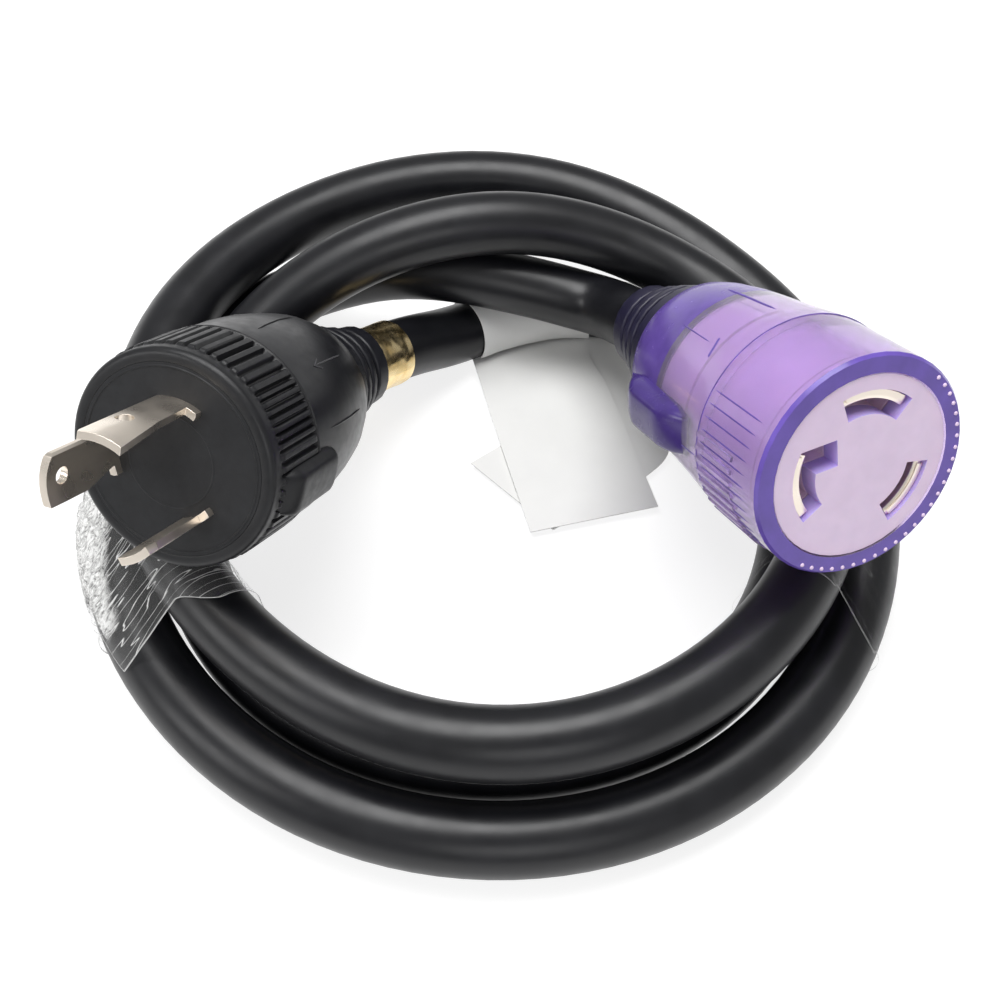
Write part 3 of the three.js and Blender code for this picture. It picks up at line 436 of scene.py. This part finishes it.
def approach(exit_point, exit_way, turn, coil_sign, pull):
    """Straight out of a relief for one diameter, then a cubic Bezier curve onto the coil."""
    straight, join = exit_point + exit_way * CORD, coil_point(turn)
    first, second = straight + exit_way * pull, join - coil_way(turn) * coil_sign * pull
    s, t = np.arange(STRAIGHT_RINGS)[:, None] / STRAIGHT_RINGS, np.arange(BEND_RINGS)[:, None] / BEND_RINGS
    bend = (straight * (1 - t) ** 3 + first * 3 * t * (1 - t) ** 2
            + second * 3 * t ** 2 * (1 - t) + join * t ** 3)
    return np.concatenate([mix(exit_point, straight, s), bend])


def eased(points, rounds):
    """Each point drawn to its neighbours, (a + 2b + c) / 4, but for the two straight ends."""
    for _ in range(rounds):
        middle = (points[:-2] + points[1:-1] * 2 + points[2:]) / 4
        inner = middle[STRAIGHT_RINGS - 1:1 - STRAIGHT_RINGS]
        points = np.concatenate([points[:STRAIGHT_RINGS], inner, points[-STRAIGHT_RINGS:]])
    return points


plug_exit = cord_exit(PLUG, PLUG_END, PLUG_BEND)
connector_exit = cord_exit(CONNECTOR, CONNECTOR_END, CONNECTOR_BEND)
lead = approach(*plug_exit, LEAD_JOIN, 1, LEAD_PULL)
tail = approach(*connector_exit, TAIL_JOIN, -1, TAIL_PULL)[::-1]
coil = coil_point(np.arange(LEAD_JOIN, TAIL_JOIN + 1, FINE))
route = eased(np.concatenate([lead, coil, tail]), EASING)

# Directions across and above the cord at each ring: the first points to the coil's inside
ways = unit(np.vstack([route[1:], route[-1:]]) - np.vstack([route[:1], route[:-1]]))
across = unit(np.cross(ways, UP))
above = np.cross(across, ways)


def cross_section(turn):
    """Centre, across and above at a turn, in proportion between two rings."""
    spot = len(lead) + (np.asarray(turn, float) - LEAD_JOIN) / FINE
    i = np.clip(spot.astype(int), 0, len(route) - 2)
    t = (spot - i)[..., None]
    return (mix(route[i], route[i + 1], t), unit(mix(across[i], across[i + 1], t)),
            unit(mix(above[i], above[i + 1], t)))


def around(turn, radius, angle):
    """Points about the cord, the angle counted from the top towards the coil's middle."""
    centre, side, top = cross_section(turn)
    offset = polar(radius, angle)
    return centre + top * offset[..., :1] + side * offset[..., 1:2]


CORD_SIDES = 48
girth = np.radians(np.arange(CORD_SIDES) * 360 / CORD_SIDES)[None, :, None]
cord_grid = route[:, None] + CORD / 2 * (across[:, None] * np.cos(girth) + above[:, None] * np.sin(girth))
cord = new_object("power_cord", tube(cord_grid), rubber, 60, replaces="cord")


# ------------------------------------------------------------------ housings
def refined(node, finish, bevel=0.25, segments=2, angle=24):
    """The CAD node's form with its edges rounded, shaded smooth."""
    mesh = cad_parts[node].data.copy()
    form = bmesh.new()
    form.from_mesh(mesh)
    bmesh.ops.remove_doubles(form, verts=form.verts, dist=2e-6)
    bmesh.ops.dissolve_limit(form, angle_limit=np.radians(0.6), verts=form.verts, edges=form.edges)
    edges = [e for e in form.edges if len(e.link_faces) == 2 and e.calc_face_angle(0) > np.radians(angle)]
    bmesh.ops.bevel(form, geom=edges, offset=bevel * MM, segments=segments, profile=0.5,
                    affect="EDGES", clamp_overlap=True)
    form.to_mesh(mesh)
    form.free()
    if "custom_normal" in mesh.attributes:
        mesh.attributes.remove(mesh.attributes["custom_normal"])
    piece = show(node + "_form", mesh, finish, 38, node)
    weighted = piece.modifiers.new("normals", "WEIGHTED_NORMAL")
    weighted.keep_sharp = True
    return piece


def turned(name, housing_frame, profile, sides, finish, sharp=35, replaces=None, closed=True):
    """A profile of [radius, height] turned about a housing's axis; a radius may have a value per side."""
    profile = profile + profile[:1] if closed else profile
    angles = np.arange(sides) * 360 / sides
    grid = np.stack([polar(radius + 0 * angles, angles, height) for radius, height in profile])
    form = on(housing_frame, grid).reshape(-1, 3), quads(len(profile), sides).tolist()
    return new_object(name, form, finish, sharp, replaces)


# Ribs of the plug's band: how many lie before each angle, as they are finer on the two sides
RIB_ANGLES, RIBS_BEFORE = (0, 20, 50, 180, 200, 230, 360), (0, 3.2, 10.2, 31, 34.2, 41.2, 62)
BAND_SIDES = RIBS_BEFORE[-1] * 10
BAND_BORE, BAND_RIM, BAND_SEAM = 21.45, 24.4, 24.6   # radii
BAND_DEPTH = 20.2
RIB_START, RIB_END = 3.4, 19.5
RIB_LOW, RIB_HIGH = -0.75, 0.5      # from the band's plain outside


def plug_band():
    """The plug's front sleeve: a rounded rim, then ribs whose height is a smooth wave of the angle."""
    angles = np.arange(BAND_SIDES) * 360 / BAND_SIDES
    count = np.interp(angles, RIB_ANGLES, RIBS_BEFORE) + 0.3
    crest = smooth((0.80 - 2 * np.abs(count - np.round(count))) / 0.3)

    def outside(d):
        reach = smooth((d - RIB_START) / 1.0) * smooth((RIB_END - d) / 0.8)
        return mix(BAND_RIM, BAND_SEAM, d / BAND_DEPTH) + mix(RIB_LOW, RIB_HIGH, crest) * reach

    profile = [(BAND_BORE, -BAND_DEPTH), (BAND_BORE, -0.2), (21.5, -0.06), (21.65, 0.0), (22.9, 0.0)]
    profile += [(22.9 + 1.5 * np.sin(a), -1.5 * (1 - np.cos(a))) for a in np.radians(np.arange(15, 91, 15))]
    profile += [(outside(d), -d)
                for d in (2.4, 3.3, 3.6, 3.9, 4.2, 4.5, 5, 8, 12, 16, 18.4, 18.8, 19.1, 19.4)]
    profile += [(BAND_SEAM + 0.1, -19.6), (BAND_SEAM + 0.45, -19.75), (BAND_SEAM + 0.45, -20.05),
                (BAND_SEAM + 0.1, -BAND_DEPTH)]
    turned("plug_grip_band_form", PLUG, profile, BAND_SIDES, nylon, 60, "plug_grip_band")


def plug_face():
    """The plug's front disc with its two raised ring lines."""
    front, rear = -0.04, -16.6
    profile = [(0, front)]
    for ring, height in ((10.3, 0.1), (20.6, 0.18)):
        profile += [(ring - 0.3, front), (ring - 0.1, front + height),
                    (ring + 0.1, front + height), (ring + 0.3, front)]
    profile += [(21.4, front), (BAND_BORE, front - 0.06), (BAND_BORE, rear), (0, rear)]
    turned("plug_face_form", PLUG, profile, 160, face_nylon, 20, "plug_face", closed=False)


def wing(name, housing_frame, angle, span, width, top, under, ramp, back, finish):
    """A thumb wing: height (1 - |v|^6)^(1/2.4) across it, eased down at its front and its rear."""
    t, v = np.linspace(0, 1, 37)[:, None], np.linspace(-1, 1, 31)[None]
    depth = mix(span[0], span[1], t)
    rise = np.minimum(smooth((depth - span[0]) / ramp), smooth((span[1] - depth) / back)) ** 0.5
    half = width / 2 * (0.8 + 0.2 * smooth(np.minimum(1, 5 * np.minimum(t, 1 - t))))
    side = half * np.sign(v) * np.abs(v) ** 0.8
    foot = np.sqrt(under ** 2 - side ** 2) - 1.2
    crown = (1 - np.abs(v) ** 6) ** (1 / 2.4) * rise
    turn = np.array(Matrix.Rotation(np.radians(angle), 3, "Z"))
    upper = np.stack(np.broadcast_arrays(mix(foot, top - 0.02 * side ** 2, crown), side, -depth), -1)
    lower = np.stack(np.broadcast_arrays(under - 3.2, side * 0.9, -mix(span[0] + 1, span[1] - 1, t)), -1)
    form = sheet_form(on(housing_frame, upper @ turn.T), on(housing_frame, lower @ turn.T))
    new_object(name, form, finish, 50)


def moulded_lines(name, housing_frame, profile, lines, width, height, finish):
    """Raised half-round lines on a housing, each along points of [angle, depth]."""
    around_line = np.radians(np.arange(0, 360, 36))[None, :, None]
    all_points, all_faces, start = [], [], 0
    for line in lines:
        line = np.array(line, float)
        place = np.linspace(0, len(line) - 1, 8 * (len(line) - 1) + 1)
        angle, depth = (np.interp(place, np.arange(len(line)), line[:, k]) for k in (0, 1))
        spots = polar(np.interp(depth, [d for _, d in profile], [r for r, _ in profile]), angle, -depth)
        way = unit(np.vstack([spots[1:], spots[-1:]]) - np.vstack([spots[:1], spots[:-1]]))
        out = polar(1, angle)
        side = unit(np.cross(way, out))
        size = np.ones((len(spots), 1, 1))
        size[[0, -1]] = 0.2
        grid = spots[:, None] + size * (side[:, None] * width / 2 * np.cos(around_line)
                                        + out[:, None] * height * np.sin(around_line))
        points, faces = tube(on(housing_frame, grid))
        all_points.append(points)
        all_faces += [[start + corner for corner in face] for face in faces]
        start += len(points)
    new_object(name, (np.concatenate(all_points), all_faces), finish, 60)


# Outsides of the housings: [radius, distance behind the face]
PLUG_SKIN = [(24.6, 20), (24.6, 30.5), (24.1, 37.5), (23.1, 44), (21.6, 51), (19.4, 57), (16.6, 62)]
SLEEVE_SKIN = [(25.5, 0), (25.7, 23.7)]
# [from, to, middle radius] of each contact's front edge
SLOT_LIPS = {"x": (45, 101, 16.1), "ground": (151, 208, 15.1), "y": (-65, -17, 16.1)}
SHELL_SKIN = [(25.7, 24), (25.5, 27), (25.2, 29), (24.4, 36), (23.2, 48),
              (22.6, 53), (21.2, 61), (20.0, 65.5), (18.4, 68)]

plug_band()
plug_face()
for side, angle in (("right", -4), ("left", 176)):
    wing("plug_wing_" + side, PLUG, angle, span=(3.5, 28), width=11.5, top=27.6, under=24.4,
         ramp=5, back=4, finish=nylon)
    wing("connector_wing_" + side, CONNECTOR, angle + 180, span=(30, 59), width=11.8, top=28.2,
         under=24.6, ramp=10, back=9, finish=deep_violet)
refined("plug_rear_shell", shell_nylon, bevel=0.4)
refined("plug_strain_relief", relief_rubber, bevel=0.5, segments=3)
for key in ("x", "y", "ground"):
    refined("blade_" + key, brass, segments=3)
refined("connector_inner_body", lilac, bevel=0.15)
refined("connector_strain_relief", violet_rubber, bevel=0.5, segments=3)


def second_finish(piece, finish, chosen):
    """Another finish on the connector's faces that chosen(normals, places) picks, in its frame."""
    mesh = piece.data
    mesh.materials.append(finish.data)
    normals, centres = np.zeros((2, len(mesh.polygons), 3))
    mesh.polygons.foreach_get("normal", normals.ravel())
    mesh.polygons.foreach_get("center", centres.ravel())
    origin, axes = CONNECTOR
    picked = chosen(normals @ axes, (centres / MM - origin) @ axes)
    mesh.polygons.foreach_set("material_index", picked.astype(np.int32))


def connector_front():
    """The disc, whose slot walls get a darker violet as painted shade in the slots, and the sleeve, whose front rim
    is deep violet.
    """
    face = refined("connector_face", lilac, 0.15)
    # The slots' walls take the painted shade.
    second_finish(face, slot_shade_violet,
                  lambda n, p: (np.abs(n[:, 2]) < 0.6) & (np.hypot(p[:, 0], p[:, 1]) < 20.5))
    sleeve = refined("connector_sleeve", clear, 0.2)
    second_finish(sleeve, rim_violet, lambda n, p: (n[:, 2] > 0.3) & (p[:, 2] > -2))


def connector_shell():
    """The clear rear shell, deep violet at its shoulder, with the lilac liner and the cord clamp inside."""
    profile = [(r, -d) for r, d in SHELL_SKIN] + [(r - 2.8, -d) for r, d in reversed(SHELL_SKIN)]
    shell = turned("connector_rear_shell_form", CONNECTOR, profile, 128, clear,
                   replaces="connector_rear_shell")
    second_finish(shell, shoulder_violet, lambda n, p: p[:, 2] < -47.8)
    liner = [(21.3, -34.4), (21.2, -38), (20.1, -47.6), (17.5, -48.2), (17.5, -34.4)]
    turned("connector_liner", CONNECTOR, liner, 96, lilac)
    clamp = [(14, -47.6), (19.9, -48.4), (19.4, -53), (18.0, -60), (16.6, -65), (9.3, -65.6), (9.3, -47.6)]
    turned("connector_clamp", CONNECTOR, clamp, 72, clamp_violet)


def contact_lips():
    """The folded front edge of each contact: a strip along its slot's outer wall."""
    for key, (start, end, outer) in SLOT_LIPS.items():
        angle, turn = np.linspace(start, end, 25)[:, None], np.arange(0, 360, 30)[None]
        c, s = np.cos(np.radians(turn)), np.sin(np.radians(turn))
        radius = outer + 1.1 * np.sign(c) * np.abs(c) ** 0.5
        depth = 2.0 - 0.5 * np.sign(s) * np.abs(s) ** 0.5
        strip = tube(on(CONNECTOR, polar(radius, angle, -depth)))
        new_object("contact_lip_" + key, strip, brass, 50)


def rim_dots():
    """Small domes along the connector's front rim, evenly spaced."""
    dots, first, apart = 26, 38, 6.68
    middles = polar(24.1, first - apart * np.arange(dots), -0.02)
    angles = np.arange(8) * 45
    dome = np.stack([polar(radius + 0 * angles, angles, rise)
                     for radius, rise in ((0, 0), (0.5, 0), (0.42, 0.22), (0.22, 0.36), (0, 0.4))])
    grid = middles[:, None, None] + dome
    count = dome.shape[0] * dome.shape[1]
    faces = (quads(len(dome), len(angles))[None] + np.arange(dots)[:, None, None] * count).reshape(-1, 4)
    new_object("connector_rim_dots", (on(CONNECTOR, grid).reshape(-1, 3), faces.tolist()), lilac, 80)


connector_front()
connector_shell()
contact_lips()
rim_dots()

ARROW = [[(47, 33), (50, 30), (53, 33)], [(50, 30), (50, 46)]]
moulded_lines("plug_marks", PLUG, PLUG_SKIN, [[(84, 27), (88, 47)], [(17, 27), (15.5, 46)]],
              width=0.5, height=0.25, finish=shell_nylon)
# The arrow takes the painted highlight finish.
moulded_lines("plug_arrow", PLUG, PLUG_SKIN, ARROW,
              width=0.4, height=0.25, finish=arrow_highlight_nylon)
moulded_lines("connector_marks", CONNECTOR, SHELL_SKIN,
              [[(87.5, 32), (86.5, 53)], [(119.5, 34), (125, 33), (131, 32.3)]],
              width=0.6, height=0.25, finish=clamp_violet)
moulded_lines("connector_seam_lines", CONNECTOR, SHELL_SKIN,
              [[(52, 25), (52, 35)], [(124, 36), (123.5, 50)], [(178, 24.4), (182, 35)]],
              width=0.3, height=0.14, finish=clamp_violet)
# Dark violet strips along the sleeve's grooves, in the clamp's finish: painted shade in the grooves.
GROOVES = 141.6 + 6.7 * np.arange(38)
moulded_lines("connector_groove_shade_lines", CONNECTOR, SLEEVE_SKIN,
              [[(angle, 4.8), (angle, 22.6)] for angle in GROOVES],
              width=0.34, height=0.12, finish=clamp_violet)
moulded_lines("connector_sleeve_edge", CONNECTOR, [(25.75, 23)] * 2,
              [[(angle, 23.75) for angle in range(0, 361, 30)]],
              width=0.3, height=0.12, finish=clamp_violet)

# The CAD's own pieces that stay: starts of their names, and finishes
CARRIED = {
    "contact": brass,
    "plug_core_x": core_black, "connector_core_x": core_black,
    "plug_core_y": core_white, "connector_core_y": core_white,
    "plug_core_ground": core_green, "connector_core_ground": core_green,
}
for name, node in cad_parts.items():
    for start, finish in CARRIED.items():
        if name.startswith(start):
            for holder in node.material_slots:
                holder.material = finish.data


# ------------------------------------------------------------------ foil, tag and film
def foil_band():
    """Wrinkled gold foil round the cord: a radius with a random swell, where the cord leaves the plug."""
    inner, wall = CORD / 2 + 0.1, 0.5
    exit_point, exit_way = plug_exit
    side = unit(np.cross(exit_way, UP))
    top = np.cross(side, exit_way)
    along, angle = np.linspace(0.6, 11.6, 29)[:, None], (np.arange(96) * 360 / 96)[None]
    swell = 0.14 * rumple(along * 0.3 + 9, angle / 22, 3) + 0.05 * rumple(along * 0.8, angle / 9, 4)

    def skin(radius, along):
        offset = polar(radius, angle)
        return exit_point + exit_way * along[..., None] + side * offset[..., :1] + top * offset[..., 1:2]

    grid = np.concatenate([skin(inner + wall + swell, along), skin(inner + 0 * along, along[::-1])])
    grid = np.concatenate([grid, grid[:1]])
    form = grid.reshape(-1, 3), quads(grid.shape[0], grid.shape[1]).tolist()
    return new_object("foil_band", form, foil, 50, "gold_band")


PAPER = 0.28


def paper_wrap(name, node, start, end):
    """Paper round the cord between two turns, open underneath, a little off the round."""
    turn, angle = np.linspace(start, end, 21)[:, None], np.linspace(-120, 120, 49)[None]
    inner = CORD / 2 + 0.35 + 0.12 * rumple(turn * 0.2 + 20, angle * 0.03 + 20, 5)
    form = sheet_form(around(turn + 0 * angle, inner + PAPER, angle), around(turn + 0 * angle, inner, angle))
    return new_object(name, form, paper, 60, node)


def paper_leaf(name, node, rows, wave):
    """A leaf of the tag: a curve through the rows of its underside, then across each."""
    t, u = np.linspace(0, 1, 41), np.linspace(0, 1, 31)
    lines = through(np.array(rows, float) + SHIFT, t)
    grid = np.swapaxes(through(np.swapaxes(lines, 0, 1), u), 0, 1)
    lift = wave * (0.5 + 0.5 * rumple(grid[..., 0] * 0.06 + 9, grid[..., 1] * 0.06 + 9, 6))
    lower = grid + UP * (lift * np.sin(np.pi * np.minimum(t * 1.15, 1))[:, None])[..., None]
    return new_object(name, sheet_form(lower + UP * PAPER, lower), paper, 60, node)


LEAF, SECOND_LEAF = 2.45, 1.75
LABEL_ROWS = [
    [(-11.2, 53.0, 3.4), (0.2, 58.8, 2.2), (22.4, 65.0, 2.6)],
    [(-9.3, 46.0, 3.1), (6.5, 49.5, 2.7), (24.6, 51.5, 2.6)],
    [(-4.9, 29.0, LEAF), (12.2, 34.2, LEAF), (29.4, 39.5, LEAF)],
    [(5.5, -9.8, LEAF), (22.9, -5.5, LEAF), (40.3, -1.3, LEAF)],
]
SECOND_LABEL_ROWS = [
    [(21.0, 63.5, 3.0), (46.0, 53.0, 4.0)],
    [(22.0, 48.0, SECOND_LEAF), (43.0, 34.0, SECOND_LEAF)],
    [(20.0, 38.0, SECOND_LEAF), (43.0, 14.6, SECOND_LEAF)],
    [(-10.9, 14.0, SECOND_LEAF), (11.6, -8.6, SECOND_LEAF)],
]

FILM_START, FILM_END = -48, 226     # degrees round the strands, from straight outwards over the top
FILM_GAP, FILM_WALL = 1.0, 0.12
FILM_ROWS, FILM_COLUMNS = 61, 241
LOOPS = 3
ARC = 1.7                           # millimetres along the coil for each degree of it
# Turns of each film's lower and upper edge, on the outer strand and on the inner one
FILMS = {
    "film_wrap_left": {"edges": ((243.5, 232), (264, 247)), "bunched": 1.0},
    "film_wrap_right": {"edges": ((121, 123), (97, 116)), "bunched": 0.0},
}


def film(node):
    """Film stretched round the strands: at each angle it lies on the strand that reaches out
    farthest, and creases lift it by 1 - 2|n| of a random n."""
    edges, level = FILMS[node]["edges"], FILMS[node]["bunched"]
    t, angle = np.linspace(0, 1, FILM_ROWS)[:, None], np.linspace(FILM_START, FILM_END, FILM_COLUMNS)[None]
    inward = 0.6 * smooth((angle - 31) / 10) + 0.4 * smooth((angle - 41) / 60)
    turn = mix(mix(edges[0][0], edges[0][1], inward), mix(edges[1][0], edges[1][1], inward), t)
    facing = polar(np.cos(np.radians(angle)), 90 - turn, np.sin(np.radians(angle)))
    strands = np.stack([cross_section(turn + 360 * loop)[0] for loop in range(LOOPS)])
    farthest = (strands * facing).sum(-1).argmax(0)[None, ..., None]
    middle = np.take_along_axis(strands, farthest, 0)[0] + facing * (CORD / 2 + FILM_GAP)

    # Spread each row's points evenly along it, so that the spans between the strands have points too
    girth = np.concatenate([0 * t, np.linalg.norm(np.diff(middle, axis=1), axis=-1).cumsum(1)], 1)
    even = girth[:, -1:] * np.linspace(0, 1, FILM_COLUMNS)
    stacked = np.concatenate([middle, facing + 0 * middle, turn[..., None] + 0 * middle[..., :1]], -1)
    stacked = np.stack([np.stack([np.interp(e, g, row[:, k]) for k in range(7)], -1)
                        for e, g, row in zip(even, girth, stacked)])
    middle, facing, turn = stacked[..., :3], unit(stacked[..., 3:6]), stacked[..., 6]
    along, girth = turn * ARC, even
    packed = level * (1 - smooth((girth - 31) / 7)) * smooth((t - 0.26) / 0.16)
    crease = 1 - 2 * np.abs(rumple(along * 0.8, girth * 0.35, 7)) + 0.5 * rumple(along * 1.7, girth * 0.8, 8)
    lift = ((0.32 * packed + 0.04 * level + 0.02) * (crease - 0.6))[..., None]
    points, faces = sheet_form(middle + facing * (lift + FILM_WALL), middle + facing * lift)
    piece = new_object(node + "_creased", (points, faces), film_finish, 180, node)

    lay = np.stack([along, girth, 0 * girth], -1)
    # Masks of the painted reflections: the thin white crease lines, and the pale edge along the film's first row.
    creased = 0.08 + 0.92 * level + 0 * girth
    glint_border = (0.3 + 0.7 * level) * (1 - t * (FILM_ROWS - 1)).clip(0, 1) + 0 * girth
    for name, kind, key, values in (("bunched", "FLOAT", "value", packed),
                                    ("creased", "FLOAT", "value", creased),
                                    ("lay", "FLOAT_VECTOR", "vector", lay),
                                    ("glint_border", "FLOAT", "value", glint_border)):
        both = np.concatenate([values, values[:, ::-1]], 1)
        piece.data.attributes.new(name, kind, "POINT").data.foreach_set(key, both.astype(np.float32).ravel())
    return piece


on_cord = [
    foil_band(),
    paper_wrap("tag_wrap", "label_wrap", -12, 20),
    paper_leaf("tag_leaf", "label_leaf", LABEL_ROWS, 0.5),
    paper_wrap("second_tag_wrap", "second_label_wrap", 26, 42),
    paper_leaf("second_tag_leaf", "second_label_leaf", SECOND_LABEL_ROWS, 0.2),
    film("film_wrap_left"),
    film("film_wrap_right"),
]


# ------------------------------------------------------------------ floor and light
floor_finish = Finish("floor_paper", (0.36, 0.36, 0.36), 0.85, Emission_Color=(1, 1, 1, 1))
floor_finish.vary(30, 0.006)
rays = floor_finish.node("ShaderNodeLightPath").outputs
seen = floor_finish.node("ShaderNodeMath")
seen.operation = "MAXIMUM"
seen_or_mirrored = floor_finish.node("ShaderNodeMath")
seen_or_mirrored.operation = "MAXIMUM"
for socket, value in ((seen.inputs[0], rays["Is Camera Ray"]), (seen.inputs[1], rays["Is Glossy Ray"]),
                      (seen_or_mirrored.inputs[0], seen.outputs[0]),
                      (seen_or_mirrored.inputs[1], rays["Is Transmission Ray"])):
    floor_finish.feed(socket, value)
LIT_GLOW, SEEN_GLOW = 0.25, 0.78    # the floor's own light for the part, and as it is seen
glow = floor_finish.ranged(seen_or_mirrored.outputs[0], LIT_GLOW, SEEN_GLOW, 0, 1)
floor_finish.feed(floor_finish.shader.inputs["Emission Strength"], glow)

reach = 3.0                         # metres
floor_mesh = bpy.data.meshes.new("floor")
floor_mesh.from_pydata([(-reach, -reach, GROUND), (reach, -reach, GROUND), (reach, reach, GROUND),
                        (-reach, reach, GROUND)], [], [(0, 1, 2, 3)])
floor_mesh.materials.append(floor_finish.data)
floor = bpy.data.objects.new("floor", floor_mesh)
bpy.context.scene.collection.objects.link(floor)

world = bpy.data.worlds.new("studio")
world.use_nodes = True
world.node_tree.nodes["Background"].inputs["Color"].default_value = (1, 1, 1, 1)
world.node_tree.nodes["Background"].inputs["Strength"].default_value = 0.34
bpy.context.scene.world = world


def softbox(name, at, towards, size, power):
    """A rectangular lamp that looks at a point."""
    data = bpy.data.lights.new(name, "AREA")
    data.shape = "RECTANGLE"
    data.size, data.size_y = size
    data.energy = power
    light = bpy.data.objects.new(name, data)
    light.location = at
    light.rotation_euler = (Vector(towards) - Vector(at)).to_track_quat("-Z", "Y").to_euler()
    bpy.context.scene.collection.objects.link(light)


softbox("top_light", (-0.05, 0.12, 0.75), towards=(0, 0, 0.02), size=(0.62, 0.42), power=5.4)
softbox("front_light", (0.1, -0.75, 0.5), towards=(0, 0, 0.04), size=(0.45, 0.35), power=1.0)
softbox("left_light", (-0.75, -0.35, 0.5), towards=(0, 0, 0.03), size=(0.3, 0.4), power=1.6)
